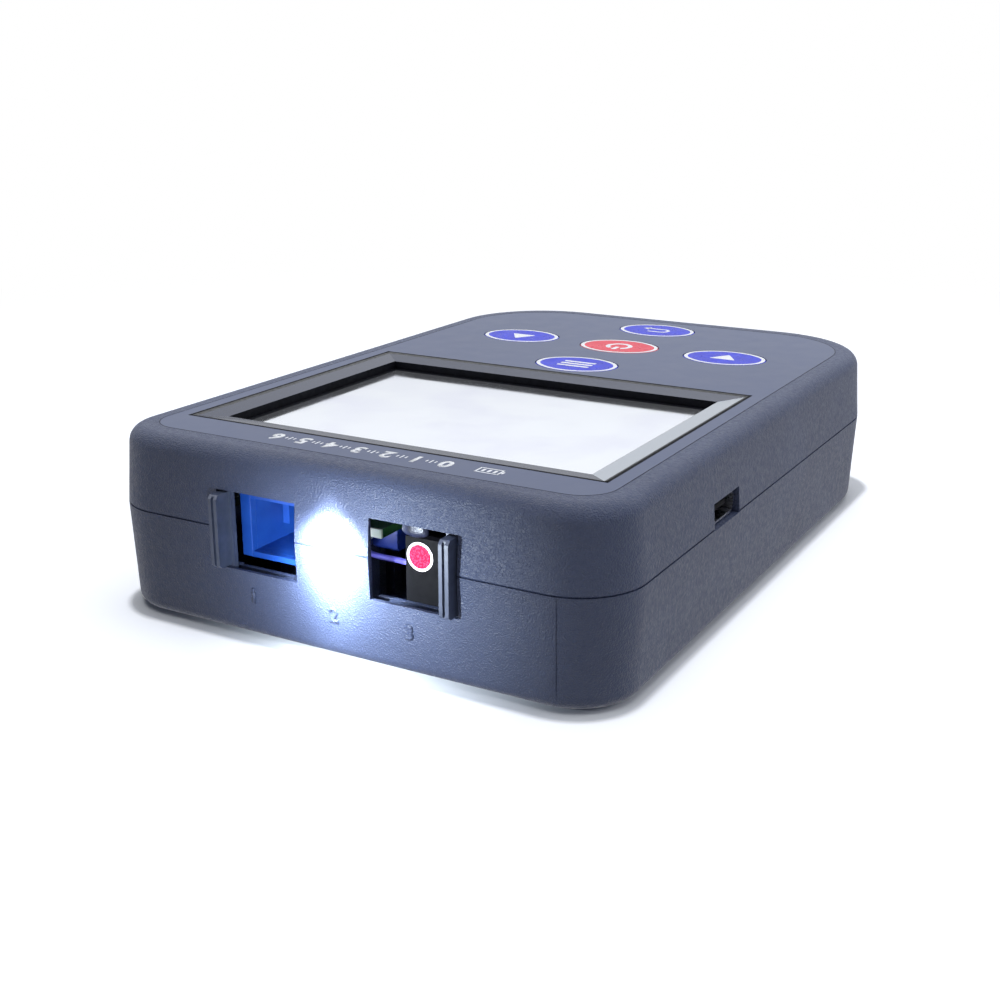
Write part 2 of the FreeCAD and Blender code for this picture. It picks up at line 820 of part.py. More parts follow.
def led_torch():
    """Three millimetre lamp with domed nose, flange and two straight legs into its holder."""
    r = led_d / 2
    body = rod_y(0, parting_z, led_y0 + r, led_y1, r)
    body = body.fuse(Part.makeSphere(r, vec(0, led_y0 + r, parting_z)))
    body = body.fuse(rod_y(0, parting_z, led_y1 - led_flange, led_y1, r + led_flange_proud))
    for x in (-led_leg_pitch / 2, led_leg_pitch / 2):
        body = body.fuse(led_leg_box(x, led_y1 - fit_gap, led_holder_y0 + led_holder_length, led_leg))
    return body.removeSplitter()


def led_holder():
    """Coloured block under the board's tongue, with a slot up from below for each of the lamp's legs."""
    y0 = led_holder_y0
    y1 = y0 + led_holder_length
    z0 = board_z - led_holder_height
    block = box(-tongue_left, tongue_right, y0, y1, z0, board_z)
    low = [e for e in flat_edges(block, y0) if abs(e.Vertexes[0].Z - z0) < 1e-6]
    block = block.makeChamfer(fit_gap * 4, low)
    top = parting_z + led_leg / 2
    for x in (-led_leg_pitch / 2, led_leg_pitch / 2):
        block = block.cut(box(x - led_slot / 2, x + led_slot / 2, y0, y1, z0, top))
    return block


def sc_adapter():
    """Square port adapter: two mouths, a middle wall with the sleeve tube, and latch hooks each way."""
    half_w, half_h = sc_body_width / 2, sc_body_height / 2
    body = box(sc_x - half_w, sc_x + half_w, sc_y0, sc_y1, sc_z - half_h, sc_z + half_h)
    body = body.makeFillet(0.6, long_edges(body))
    proud = sc_collar_proud
    body = body.fuse(
        box(
            sc_x - half_w - proud,
            sc_x + half_w + proud,
            sc_mid - sc_collar / 2,
            sc_mid + sc_collar / 2,
            sc_z - half_h - proud,
            sc_z + half_h + proud,
        )
    )
    for y0, y1 in ((sc_y0, sc_mid - sc_mid_wall / 2), (sc_mid + sc_mid_wall / 2, sc_y1)):
        body = body.cut(
            box(
                sc_x - sc_mouth_width / 2,
                sc_x + sc_mouth_width / 2,
                y0,
                y1,
                sc_z - sc_mouth_height / 2,
                sc_z + sc_mouth_height / 2,
            )
        )
    sleeve_r = ferrule_d / 2 + sleeve_wall + fit_gap
    tube_half = sc_sleeve_length / 2 + 0.5
    body = body.fuse(rod_y(sc_x, sc_z, sc_mid - tube_half, sc_mid + tube_half, sleeve_r + sc_tube_wall))
    hook_z0, hook_z1 = sc_z - sc_hook_height / 2, sc_z + sc_hook_height / 2
    for side in (-1, 1):
        inner = sc_x + side * sc_hook_x
        outer = inner + side * sc_hook
        slot = sorted((outer, outer + side * sc_slot))
        body = body.cut(box(*slot, sc_mid - sc_mid_wall, sc_mid + sc_mid_wall, hook_z0, hook_z1))
        hook = sorted((inner, outer))
        body = body.fuse(box(*hook, sc_mid - sc_hook_length, sc_mid + sc_hook_length, hook_z0, hook_z1))
        barb = sorted((inner, outer + side * sc_hook_barb))
        for end in (-1, 1):
            ys = sorted((sc_mid + end * sc_hook_length, sc_mid + end * (sc_hook_length - sc_hook * 2)))
            body = body.fuse(box(*barb, *ys, hook_z0, hook_z1))
    body = body.cut(rod_y(sc_x, sc_z, sc_y0, sc_y1, sleeve_r))
    return body.removeSplitter()


def sleeve(x, z, y0, length):
    """Ceramic alignment sleeve."""
    r = ferrule_d / 2
    return rod_y(x, z, y0, y0 + length, r + sleeve_wall).cut(rod_y(x, z, y0, y0 + length, r))


def sc_plug():
    """Plug of the inner fibre, in the rear mouth of the adapter."""
    half_w = sc_mouth_width / 2 - fit_gap
    half_h = sc_mouth_height / 2 - fit_gap
    body = box(sc_x - half_w, sc_x + half_w, plug_y0, boot_y0, sc_z - half_h, sc_z + half_h)
    body = body.makeChamfer(0.7, long_edges(body))
    return body.cut(rod_y(sc_x, sc_z, plug_y0, boot_y0, ferrule_d / 2))


def sc_ferrule():
    return rod_y(sc_x, sc_z, sc_mid, boot_y0, ferrule_d / 2 - 0.01)


def sc_boot():
    """Tapered boot behind the inner plug, bored for the fibre."""
    cone = Part.makeCone(sc_boot_r, sc_boot_tip_r, sc_boot_length, vec(sc_x, boot_y0, sc_z), vec(0, 1, 0))
    return cone.cut(rod_y(sc_x, sc_z, boot_y0, boot_y0 + sc_boot_length, fibre_d / 2))


def fibre_pigtail():
    """Fibre from the inner plug into a tied coil in the tray, and on to the optical engine."""
    r = fibre_d / 2
    left = tray_x - coil_r
    lead_in = tube(
        [
            vec(sc_x, boot_y0, sc_z),
            vec(sc_x, boot_y0 + fibre_lead, sc_z),
            vec(left, boot_y0 + fibre_lead, coil_z + coil_bundle_r * 2),
            vec(left, tray_y, coil_z),
        ],
        r,
    )
    coil = coil_ring(tray_x, tray_y, coil_z, coil_r, coil_bundle_r)
    lead_out = tube(
        [
            vec(tray_x, tray_y - coil_r, coil_z),
            vec(sc_x + 8.0, tray_y - coil_r, coil_z + r),
            vec(engine_x1, engine_y0 + 5.0, board_z - engine_height + r * 3),
        ],
        r,
    )
    return coil.fuse(lead_in).fuse(lead_out).cut(optical_engine())


def fibre_tray():
    """Round dish on the floor with a hub that keeps the coil above its least bend."""
    dish = rod(tray_x, tray_y, floor, floor + tray_height, tray_r)
    hollow = rod(tray_x, tray_y, floor + tray_wall, floor + tray_height, tray_r - tray_wall)
    hub = rod(tray_x, tray_y, floor + tray_wall, floor + tray_height, tray_hub_r)
    hub = hub.cut(rod(tray_x, tray_y, floor + tray_wall, floor + tray_height, tray_hub_r - tray_wall))
    dish = dish.cut(hollow.cut(hub))
    gate_z = coil_z - fibre_d
    left, front = tray_x - tray_r, tray_y - tray_r
    gate_y = tray_y - tray_gate / 2
    dish = dish.cut(box(left, left + tray_gate, gate_y, tray_y + tray_r, gate_z, body_height))
    dish = dish.cut(box(left, tray_x, front, front + tray_gate, gate_z, body_height))
    return dish.removeSplitter()


def optical_engine():
    """Milled block with the laser and receiver cans, hung under the board."""
    z0 = board_z - engine_height
    block = box(engine_x0, engine_x1, engine_y0, engine_y1, z0, board_z)
    block = block.makeChamfer(0.8, edges_at(block, z0))
    for back in engine_can_places:
        centre = vec(engine_x1 - fit_gap, engine_y0 + back, z0 + engine_height / 2)
        block = block.fuse(Part.makeCylinder(engine_can_r, engine_can + fit_gap, centre, vec(1, 0, 0)))
    return block


def vfl_holder():
    """Black block on the floor that carries the red light port's barrel."""
    x0, x1 = vfl_x - vfl_block_left, vfl_x + vfl_block_right
    top = vfl_z + vfl_block_top
    foot_x = x1 + vfl_foot_width / 2
    block = box(x0, x1, vfl_y0, vfl_y1, floor, top)
    block = block.makeChamfer(0.4, edges_at(block, top))
    block = block.fuse(box(x1, x1 + vfl_foot_width, vfl_y0 + 1.0, vfl_y1 - 1.0, floor, floor + vfl_foot))
    block = block.cut(rod_y(vfl_x, vfl_z, vfl_y0, vfl_y1, vfl_barrel_d / 2))
    block = block.cut(rod(foot_x, (vfl_y0 + vfl_y1) / 2, floor, floor + vfl_foot, vfl_clamp_d / 2 + fit_gap))
    clamp_y = vfl_y0 + vfl_clamp_back
    return block.cut(rod(vfl_x, clamp_y, vfl_z, top, vfl_clamp_d / 2))


def vfl_barrel():
    outer = rod_y(vfl_x, vfl_z, vfl_y0, vfl_y1, vfl_barrel_d / 2)
    return outer.cut(rod_y(vfl_x, vfl_z, vfl_y0, vfl_y1, ferrule_d / 2 + sleeve_wall))


def vfl_laser_diode():
    """Laser can behind the sleeve, with its rim and three pins."""
    rim_y = vfl_y1 + vfl_can_length - vfl_can_rim
    can = rod_y(vfl_x, vfl_z, vfl_y1, rim_y, vfl_can_d / 2 - 0.5)
    can = can.fuse(rod_y(vfl_x, vfl_z, rim_y, rim_y + vfl_can_rim, vfl_can_d / 2))
    pin = fit_gap * 2
    for angle in (90, 210, 330):
        x = vfl_x + math.cos(math.radians(angle))
        z = vfl_z + math.sin(math.radians(angle))
        y = vfl_y1 + vfl_can_length
        can = can.fuse(box(x - pin, x + pin, y - pin, y + vfl_pin_length, z - pin, z + pin))
    return can


def vfl_screws():
    """Clamp screw on top of the block and the screw in its foot, each with a flat head."""
    top = vfl_z + vfl_block_top
    y = vfl_y0 + vfl_clamp_back
    r = vfl_clamp_d / 2 - 0.02
    clamp = rod(vfl_x, y, vfl_z + vfl_barrel_d / 2, top, r).fuse(rod(vfl_x, y, top, top + 1.0, r * 2))
    foot_x = vfl_x + vfl_block_right + vfl_foot_width / 2
    foot_y = (vfl_y0 + vfl_y1) / 2
    foot_z = floor + vfl_foot
    foot = rod(foot_x, foot_y, floor, foot_z, r).fuse(rod(foot_x, foot_y, foot_z, foot_z + 1.0, r * 2))
    return Part.Compound([clamp.removeSplitter(), foot.removeSplitter()])


def vfl_lead():
    """Lead from the side of the red light block, under the lamp's holder and up to the board."""
    x0 = vfl_x - vfl_block_left
    y = vfl_y0 + vfl_clamp_back
    low = board_z - led_holder_height - vfl_lead_d
    return tube(
        [
            vec(x0, y, low),
            vec(-tongue_left / 2, y, low),
            vec(-tongue_left / 2, sc_mid, low),
            vec(-tongue_left / 2, sc_mid, board_z),
        ],
        vfl_lead_d / 2,
    )


def usb_profile(inset):
    """Rounded section of the socket, standing at its inner end."""
    half = usb_width / 2 - inset
    z0, z1 = usb_z0 + inset, usb_z1 - inset
    r = usb_corner_r - inset

    def arc(cy, cz, start):
        ends = [math.radians(start + turn) for turn in (0, 45, 90)]
        return Part.Arc(*[vec(usb_x0, cy + r * math.cos(a), cz + r * math.sin(a)) for a in ends]).toShape()

    arcs = [
        arc(usb_y + half - r, z0 + r, 270),
        arc(usb_y + half - r, z1 - r, 0),
        arc(usb_y - half + r, z1 - r, 90),
        arc(usb_y - half + r, z0 + r, 180),
    ]
    edges = []
    for one, following in zip(arcs, arcs[1:] + arcs[:1]):
        edges.append(one)
        edges.append(Part.LineSegment(one.lastVertex().Point, following.firstVertex().Point).toShape())
    return Part.Face(Part.Wire(edges))


def usb_shell():
    outer = usb_profile(0).extrude(vec(usb_length, 0, 0))
    return outer.cut(usb_profile(usb_shell_t).extrude(vec(usb_length, 0, 0)))


def usb_tongue():
    """Plastic core of the socket: its back block and the thin contact tongue."""
    core = usb_profile(usb_shell_t).extrude(vec(usb_core, 0, 0))
    middle = (usb_z0 + usb_z1) / 2
    half_w, half_t = usb_tongue_width / 2, usb_tongue_thickness / 2
    x0, x1 = usb_x0 + usb_core, usb_x1 - usb_tongue_back
    return core.fuse(box(x0, x1, usb_y - half_w, usb_y + half_w, middle - half_t, middle + half_t))


def battery_pack():
    pack = box(-battery_half, battery_half, battery_y0, battery_y1, battery_z0, battery_z1)
    return pack.makeFillet(battery_edge_r, long_edges(pack))


def battery_foam_pad():
    half, inset = battery_half - battery_foam_inset, battery_foam_inset
    return box(-half, half, battery_y0 + inset, battery_y1 - inset, floor, battery_z0)


def battery_socket():
    """Wire connector under the board."""
    half = battery_socket_width / 2
    y0 = battery_socket_y
    z0 = board_z - battery_socket_height
    return box(battery_socket_x - half, battery_socket_x + half, y0, y0 + battery_socket_length, z0, board_z)


def battery_leads():
    """Red and black leads from the pack's front edge, up and back into their connector."""
    z_pack = (battery_z0 + battery_z1) / 2
    z_socket = board_z - battery_socket_height / 2
    leads = []
    for x in (battery_socket_x - lead_pitch / 2, battery_socket_x + lead_pitch / 2):
        path = [
            vec(x, battery_y0, z_pack),
            vec(x, battery_y0 - lead_loop, z_pack),
            vec(x, battery_y0 - lead_loop, z_socket),
            vec(x, battery_socket_y, z_socket),
        ]
        leads.append(tube(path, lead_d / 2))
    return Part.Compound(leads)


def shutter():
    """Right-hand shutter: a flat plate behind the wall with a ridged tab through the window."""
    plate = box(shutter_in, shutter_out, shutter_y0, shutter_y1, shutter_z0, shutter_z1)
    z0, z1 = window_low + tab_end_gap, window_high - tab_end_gap
    y0 = front_y - tab_proud
    tab = box(tab_in, tab_out, y0, shutter_y0 + 0.1, z0, z1)
    tab = tab.makeChamfer(tab_end_chamfer, flat_edges(tab, y0))
    middle = (tab_in + tab_out) / 2
    groove_y = y0 + tab_groove_depth
    tab = tab.cut(box(middle - tab_groove / 2, middle + tab_groove / 2, y0, groove_y, z0, z1))
    return plate.fuse(tab).removeSplitter()


def case_screw(x, y):
    """Pan-head screw from the back, with a cross recess."""
    seat = parting_z - screw_seat_web
    screw = rod(x, y, seat - screw_head, seat, screw_head_d / 2)
    screw = screw.fuse(rod(x, y, seat - 0.1, parting_z + insert_length, screw_d / 2))
    z0 = seat - screw_head
    z1 = z0 + screw_slot_depth
    for half_x, half_y in ((screw_slot_length / 2, screw_slot / 2), (screw_slot / 2, screw_slot_length / 2)):
        screw = screw.cut(box(x - half_x, x + half_x, y - half_y, y + half_y, z0, z1))
    return screw.removeSplitter()


def threaded_insert(x, y):
    outer = rod(x, y, parting_z, parting_z + insert_length, insert_d / 2)
    return outer.cut(rod(x, y, parting_z, parting_z + insert_length, screw_d / 2))


def board_screw(x, y):
    screw = rod(x, y, board_z - board_screw_head, board_z, board_screw_head_d / 2)
    return screw.fuse(rod(x, y, board_z - 0.1, roof_z - 0.8, board_screw_d / 2)).removeSplitter()


def all_parts():
    parts = {
        "upper_housing": upper_housing(),
        "lower_housing": lower_housing(),
        "keypad_overlay": keypad_overlay(),
        "tact_switches": Part.Compound([tact_switch(x, y) for x, y in keys.values()]),
        "display_gasket": display_gasket(),
        "lcd_glass": lcd_slab(lcd_rim, glass_z, lcd_top_z),
        "lcd_backlight": lcd_backlight(),
        "lcd_foam_pads": lcd_foam_pads(),
        "lcd_flex": lcd_flex(),
        "flex_connector": flex_connector(),
        "main_board": main_board(),
        "board_chips": board_chips(),
        "shield_can": shield_can(),
        "led_torch": led_torch(),
        "led_holder": led_holder(),
        "sc_adapter": sc_adapter(),
        "sc_sleeve": sleeve(sc_x, sc_z, sc_mid - sc_sleeve_length / 2, sc_sleeve_length),
        "sc_plug": sc_plug(),
        "sc_ferrule": sc_ferrule(),
        "sc_boot": sc_boot(),
        "fibre_pigtail": fibre_pigtail(),
        "fibre_tray": fibre_tray(),
        "optical_engine": optical_engine(),
        "vfl_holder": vfl_holder(),
        "vfl_barrel": vfl_barrel(),
        "vfl_sleeve": sleeve(vfl_x, vfl_z, vfl_y0, vfl_sleeve_length),
        "vfl_lead": vfl_lead(),
        "vfl_laser_diode": vfl_laser_diode(),
        "vfl_screws": vfl_screws(),
        "usb_shell": usb_shell(),
        "usb_tongue": usb_tongue(),
        "battery_pack": battery_pack(),
        "battery_foam": battery_foam_pad(),
        "battery_socket": battery_socket(),
        "battery_leads": battery_leads(),
        "shutter_right": shutter(),
        "shutter_left": mirrored(shutter()),
        "case_screws": Part.Compound([case_screw(x, y) for x, y in case_screw_places]),
        "threaded_inserts": Part.Compound([threaded_insert(x, y) for x, y in case_screw_places]),
        "board_screws": Part.Compound([board_screw(x, y) for x, y in board_screw_places]),
    }
    for name, (x, y) in keys.items():
        parts["key_" + name] = key_cap(x, y)
        parts["key_plunger_" + name] = key_plunger(x, y)
        parts["switch_button_" + name] = switch_button(x, y)
    return parts


os.makedirs("parts", exist_ok=True)
for node, shape in all_parts().items():
    shape.exportStep("parts/" + node + ".step")
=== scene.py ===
import math

import bmesh
import bpy
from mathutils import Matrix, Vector


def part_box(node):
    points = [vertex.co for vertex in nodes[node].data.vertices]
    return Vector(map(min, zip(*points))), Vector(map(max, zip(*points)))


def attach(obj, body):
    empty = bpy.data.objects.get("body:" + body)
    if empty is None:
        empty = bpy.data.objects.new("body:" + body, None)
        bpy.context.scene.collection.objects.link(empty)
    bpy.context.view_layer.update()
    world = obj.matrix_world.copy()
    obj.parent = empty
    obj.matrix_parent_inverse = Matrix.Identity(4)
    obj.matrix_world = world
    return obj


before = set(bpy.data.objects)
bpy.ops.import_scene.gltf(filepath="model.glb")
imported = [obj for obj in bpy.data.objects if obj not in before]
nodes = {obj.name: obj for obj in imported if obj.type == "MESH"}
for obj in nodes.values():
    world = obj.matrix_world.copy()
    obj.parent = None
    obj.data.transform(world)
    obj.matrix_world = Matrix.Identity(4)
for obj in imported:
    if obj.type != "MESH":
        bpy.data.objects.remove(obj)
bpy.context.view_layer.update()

MM = 0.001
KEYS = ("left", "right", "front", "rear", "centre")

# ---- sizes of what is printed, raised or stuck on the tester ----
INK = 0.012 * MM                # thickness of a printed layer
KEY_RIM = 0.62 * MM             # white line round each key
DIGIT_HEIGHT = 2.5 * MM
PRINT_LINE = 3.7 * MM           # from the film's front edge to the middle of its line of print
NUMERAL_WEIGHT = 0.055          # how much a numeral's strokes swell, as a share of its height
RELIEF = 0.16 * MM              # how far the port numbers stand out of the case
RELIEF_HEIGHT = 2.0 * MM
RELIEF_LINE = 5.9 * MM          # height of the port numbers' middle above the back

# ---- sizes of the mouldings ----
CORNER = 9.2 * MM               # radius of the front corners, seen from above
CORNER_X = 30.8 * MM            # where a front corner starts, from the middle
LIP = 1.2 * MM                  # how far the lower housing reaches up inside the upper one
LOWER_DRAFT = 0.6 * MM          # how far the lower housing leans in by its bottom
FRAME_HALF = 32.9 * MM          # bevelled frame round the screen
FRAME_START = 12.2 * MM
FRAME_END = 62.9 * MM
FRAME_DEPTH = 0.6 * MM
BEVEL = 3.6 * MM                # width of the frame's bevel
PANEL = 0.5 * MM                # clear panel over the display

# ---- where the tester's own pieces are ----
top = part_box("upper_housing")[1].z
lower_low, lower_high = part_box("lower_housing")
overlay_low, overlay_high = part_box("keypad_overlay")
glass_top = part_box("lcd_glass")[1].z
lamp_low, lamp_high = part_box("led_torch")
ring_low, ring_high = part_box("vfl_barrel")
board_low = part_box("main_board")[0]
front = lower_low.y
frame_low = Vector((-FRAME_HALF, front + FRAME_START, top - FRAME_DEPTH))
frame_high = Vector((FRAME_HALF, front + FRAME_END, top))
parting = lower_high.z - LIP
lower_lean = LOWER_DRAFT / parting      # slope of the lower housing's walls
lamp_x = (lamp_low.x + lamp_high.x) / 2
ring_axis = (ring_low + ring_high) / 2


def paint(red, green, blue):
    """A colour as it looks, 0 to 255, as the linear colour that a shader takes."""
    linear = [
        (c / 255 / 12.92) if c / 255 <= 0.04045 else ((c / 255 + 0.055) / 1.055) ** 2.4
        for c in (red, green, blue)
    ]
    return (*linear, 1.0)


# ---------------------------------------------------------------- finishes


class Wiring:
    """A node tree being wired."""

    def __init__(self, tree):
        self.tree = tree

    def node(self, kind, inputs=None, **settings):
        made = self.tree.nodes.new(kind)
        for name, value in settings.items():
            setattr(made, name, value)
        for name, value in (inputs or {}).items():
            if isinstance(value, bpy.types.NodeSocket):
                self.tree.links.new(value, made.inputs[name])
            else:
                made.inputs[name].default_value = value
        return made

    def maths(self, operation, first, second=0.0):
        return self.node("ShaderNodeMath", {0: first, 1: second}, operation=operation).outputs[0]

    def ease(self, value, low, high, to_low=0.0, to_high=1.0):
        """A soft step from one level to another."""
        inputs = {"Value": value, "From Min": low, "From Max": high, "To Min": to_low, "To Max": to_high}
        return self.node("ShaderNodeMapRange", inputs, interpolation_type="SMOOTHSTEP").outputs["Result"]

    def mix(self, factor, one, other):
        """One shader where the factor is zero and the other where it is one."""
        return self.node("ShaderNodeMixShader", {0: factor, 1: one, 2: other}).outputs[0]

    def glow(self, kind, colour, strength=1.0):
        """An emission or a background."""
        return self.node(kind, {"Color": (*colour, 1), "Strength": strength}).outputs[0]


class Finish(Wiring):
    """A material being made: its node tree and its main shader."""

    def __init__(self, name, colour, roughness, **sockets):
        self.material = bpy.data.materials.new(name)
        self.material.use_nodes = True
        super().__init__(self.material.node_tree)
        self.shader = self.tree.nodes["Principled BSDF"]
        self.shader.inputs["Base Color"].default_value = colour
        self.shader.inputs["Roughness"].default_value = roughness
        for socket, value in sockets.items():
            self.shader.inputs[socket.replace("_", " ")].default_value = value
        self.place = self.node("ShaderNodeTexCoord").outputs["Object"]

    def noise(self, scale, detail=2.0, stretch=None):
        place = self.place
        if stretch:
            place = self.node("ShaderNodeMapping", {"Vector": place, "Scale": stretch}).outputs[0]
        inputs = {"Vector": place, "Scale": scale, "Detail": detail}
        return self.node("ShaderNodeTexNoise", inputs).outputs["Fac"]

    def cells(self, scale, feature="F1"):
        inputs = {"Vector": self.place, "Scale": scale}
        return self.node("ShaderNodeTexVoronoi", inputs, feature=feature).outputs["Distance"]

    def spread(self, value, low, high, to_low, to_high):
        inputs = {"Value": value, "From Min": low, "From Max": high, "To Min": to_low, "To Max": to_high}
        return self.node("ShaderNodeMapRange", inputs).outputs["Result"]

    def blend(self, factor, one, other):
        inputs = {0: factor, 6: one, 7: other}
        return self.node("ShaderNodeMix", inputs, data_type="RGBA").outputs[2]

    def drive(self, socket, value):
        self.tree.links.new(value, self.shader.inputs[socket])

    def bump(self, height, distance, strength=1.0, under=None):
        inputs = {"Height": height, "Distance": distance, "Strength": strength}
        if under:
            inputs["Normal"] = under
        return self.node("ShaderNodeBump", inputs).outputs["Normal"]

    def within(self, low, high):
        """One inside the box between two corners and zero outside it."""
        axes = self.node("ShaderNodeSeparateXYZ", {0: self.place}).outputs
        mask = None
        for axis, start, end in zip(axes, low, high):
            above = self.maths("GREATER_THAN", axis, start)
            below = self.maths("LESS_THAN", axis, end)
            both = self.maths("MULTIPLY", above, below)
            mask = both if mask is None else self.maths("MULTIPLY", mask, both)
        return mask


def case_finish():
    """Spark-eroded blue-grey moulding. The bevel round the screen is polished, with painted black shadow
    along its outer edge and its right strip painted near white as a reflection.
    """
    grey = paint(52, 60, 86)
    made = Finish("case_plastic_look", grey, 0.5, Specular_IOR_Level=0.42)
    large = made.noise(55, 3)
    colour = made.blend(made.spread(large, 0.35, 0.65, 0, 1), paint(49, 57, 82), paint(55, 64, 90))
    pits = made.noise(4000, 1.5)
    pebbles = made.cells(4400)
    height = made.maths("ADD", made.maths("MULTIPLY", pits, 0.7), made.maths("MULTIPLY", pebbles, 0.6))
    reach = Vector((0.05, 0.05, 0.1)) * MM
    step = Vector((0.45, 0.45, -0.1)) * MM
    # painted shadow: a black band along the frame's outer edge and the walls just below it stands for the
    # shade of the gap there
    groove_shade = made.within(frame_low - reach, frame_high + reach)
    bevel = made.within(frame_low + step, frame_high - step)
    roughness = made.spread(made.noise(1500, 1), 0.3, 0.7, 0.42, 0.58)
    roughness = made.maths("MULTIPLY", roughness, made.spread(bevel, 0, 1, 1.0, 0.24))
    made.drive("Roughness", roughness)
    # the painted black shadow goes on here
    colour = made.blend(groove_shade, colour, paint(7, 8, 12))
    # painted reflection: the bevel's right strip, mitred at its corners, is painted near white for the bright
    # surroundings it mirrors
    x, y, _ = made.node("ShaderNodeSeparateXYZ", {0: made.place}).outputs
    along = made.maths("ABSOLUTE", made.maths("SUBTRACT", y, (frame_low.y + frame_high.y) / 2))
    mitre = frame_high.x - (frame_high.y - frame_low.y) / 2
    right = made.maths("GREATER_THAN", made.maths("SUBTRACT", x, along), mitre)
    bevel_with_painted_reflection = made.blend(right, paint(50, 58, 84), paint(208, 214, 224))
    made.drive("Base Color", made.blend(bevel, colour, bevel_with_painted_reflection))
    depth = made.spread(groove_shade, 0, 1, 0.16 * MM, 0.0)
    made.drive("Normal", made.bump(height, depth, 0.9))
    return made.material


def film_finish():
    """Satin printed film with a faint lie to its colour."""
    made = Finish("film_look", paint(66, 77, 109), 0.36, Specular_IOR_Level=0.35)
    drift = made.noise(28, 2)
    colour = made.blend(made.spread(drift, 0.35, 0.65, 0, 1), paint(64, 75, 107), paint(68, 79, 111))
    made.drive("Base Color", colour)
    made.drive("Roughness", made.spread(made.noise(240, 3), 0.3, 0.7, 0.35, 0.39))
    made.drive("Normal", made.bump(made.noise(3200, 1), 0.02 * MM, 0.3))
    return made.material


def key_finish(name, dark, light):
    """Gloss ink under the film."""
    made = Finish(name, light, 0.3, Specular_IOR_Level=0.12)
    tone = made.spread(made.noise(420, 2), 0.3, 0.7, 0, 1)
    made.drive("Base Color", made.blend(tone, dark, light))
    made.drive("Roughness", made.spread(made.noise(900, 1), 0.3, 0.7, 0.26, 0.36))
    made.drive("Normal", made.bump(made.noise(2600, 1), 0.015 * MM, 0.25))
    return made.material


def ink_finish():
    made = Finish("white_ink_look", paint(236, 238, 246), 0.5)
    tone = made.spread(made.noise(700, 2), 0.3, 0.7, 0, 1)
    made.drive("Base Color", made.blend(tone, paint(246, 248, 255), paint(253, 253, 255)))
    return made.material


def screen_finish():
    """Lit display behind a glossy protector: white, with faint patches where the protector lifts."""
    made = Finish("screen_look", paint(240, 243, 255), 0.1, Metallic=0.97, Emission_Strength=0.04)
    patches = made.spread(made.noise(75, 4), 0.45, 0.7, 0, 1)
    colour = made.blend(patches, paint(246, 249, 255), paint(238, 240, 252))
    made.drive("Base Color", colour)
    made.drive("Emission Color", colour)
    made.drive("Roughness", made.spread(made.noise(160, 2), 0.3, 0.7, 0.08, 0.13))
    made.drive("Normal", made.bump(made.noise(60, 2), 0.1 * MM, 0.08))
    return made.material


def foam_finish():
    made = Finish("foam_look", paint(14, 14, 16), 0.85)
    speck = made.spread(made.cells(1800), 0.0, 0.25, 1, 0)
    made.drive("Base Color", made.blend(speck, paint(12, 12, 14), paint(74, 76, 84)))
    made.drive("Normal", made.bump(made.noise(2500, 2), 0.06 * MM, 0.6))
    return made.material


def lamp_finish():
    """Clear lamp body with a lit dome."""
    made = Finish("lamp_look", paint(236, 242, 252), 0.12, Emission_Color=paint(238, 246, 255))
    lit = made.within((-4 * MM, lamp_low.y - MM, 0), (4 * MM, lamp_low.y + 4.2 * MM, 30 * MM))
    falloff = made.spread(made.noise(500, 1), 0.2, 0.8, 0.9, 1.1)
    made.drive("Emission Strength", made.maths("MULTIPLY", made.maths("MULTIPLY", lit, 12.0), falloff))
    return made.material


def port_finish():
    """Bright blue moulding of the square port."""
    made = Finish("port_blue_look", paint(34, 92, 214), 0.34)
    tone = made.spread(made.noise(260, 3), 0.3, 0.7, 0, 1)
    made.drive("Base Color", made.blend(tone, paint(22, 62, 144), paint(30, 76, 164)))
    made.drive("Roughness", made.spread(made.noise(900, 2), 0.3, 0.7, 0.28, 0.42))
    made.drive("Normal", made.bump(made.noise(1800, 1), 0.02 * MM, 0.3))
    return made.material


def glow_finish():
    """Ceramic sleeve lit from behind by the red laser, with speckle."""
    made = Finish("red_glow_look", paint(96, 0, 34), 0.5, Specular_IOR_Level=0.1)
    speck = made.spread(made.noise(3600, 2), 0.46, 0.66, 0, 1)
    colour = made.blend(speck, paint(238, 0, 82), paint(255, 96, 156))
    made.drive("Base Color", made.blend(speck, paint(96, 0, 34), paint(120, 12, 52)))
    made.drive("Emission Color", colour)
    made.drive("Emission Strength", made.spread(speck, 0, 1, 0.9, 0.8))
    return made.material


def board_finish():
    """Green solder mask with tracks under it, pale bare edges at the front of the tongue, and painted shade
    over the board's left front.
    """
    made = Finish("board_look", paint(34, 92, 52), 0.3)
    tracks = made.noise(300, 1, stretch=(1.0, 0.12, 1.0))
    colour = made.blend(made.spread(tracks, 0.47, 0.53, 0, 1), paint(30, 84, 48), paint(52, 116, 66))
    low = Vector((-4 * MM, board_low.y - MM, board_low.z - MM))
    edge = made.within(low, (5.9 * MM, board_low.y + 0.35 * MM, 30 * MM))
    colour = made.blend(edge, colour, paint(222, 232, 214))
    # painted shade: the board's left front, beside the port, is painted near black
    low.x = -30 * MM
    shade = made.within(low, (-14.5 * MM, board_low.y + 8 * MM, 30 * MM))
    made.drive("Base Color", made.blend(shade, colour, paint(12, 16, 15)))
    made.drive("Normal", made.bump(tracks, 0.03 * MM, 0.4))
    return made.material


def plain_finish(name, colour, other, roughness, scale=600, grain=0.02, **sockets):
    """A moulded, pressed or milled surface: two close tones, uneven gloss and a fine grain."""
    made = Finish(name, colour, roughness, **sockets)
    tone = made.spread(made.noise(scale, 3), 0.35, 0.65, 0, 1)
    made.drive("Base Color", made.blend(tone, colour, other))
    gloss = made.noise(scale * 1.7, 2)
    made.drive("Roughness", made.spread(gloss, 0.3, 0.7, roughness * 0.85, roughness * 1.15))
    made.drive("Normal", made.bump(made.noise(scale * 4, 1), grain * MM, 0.4))
    return made.material


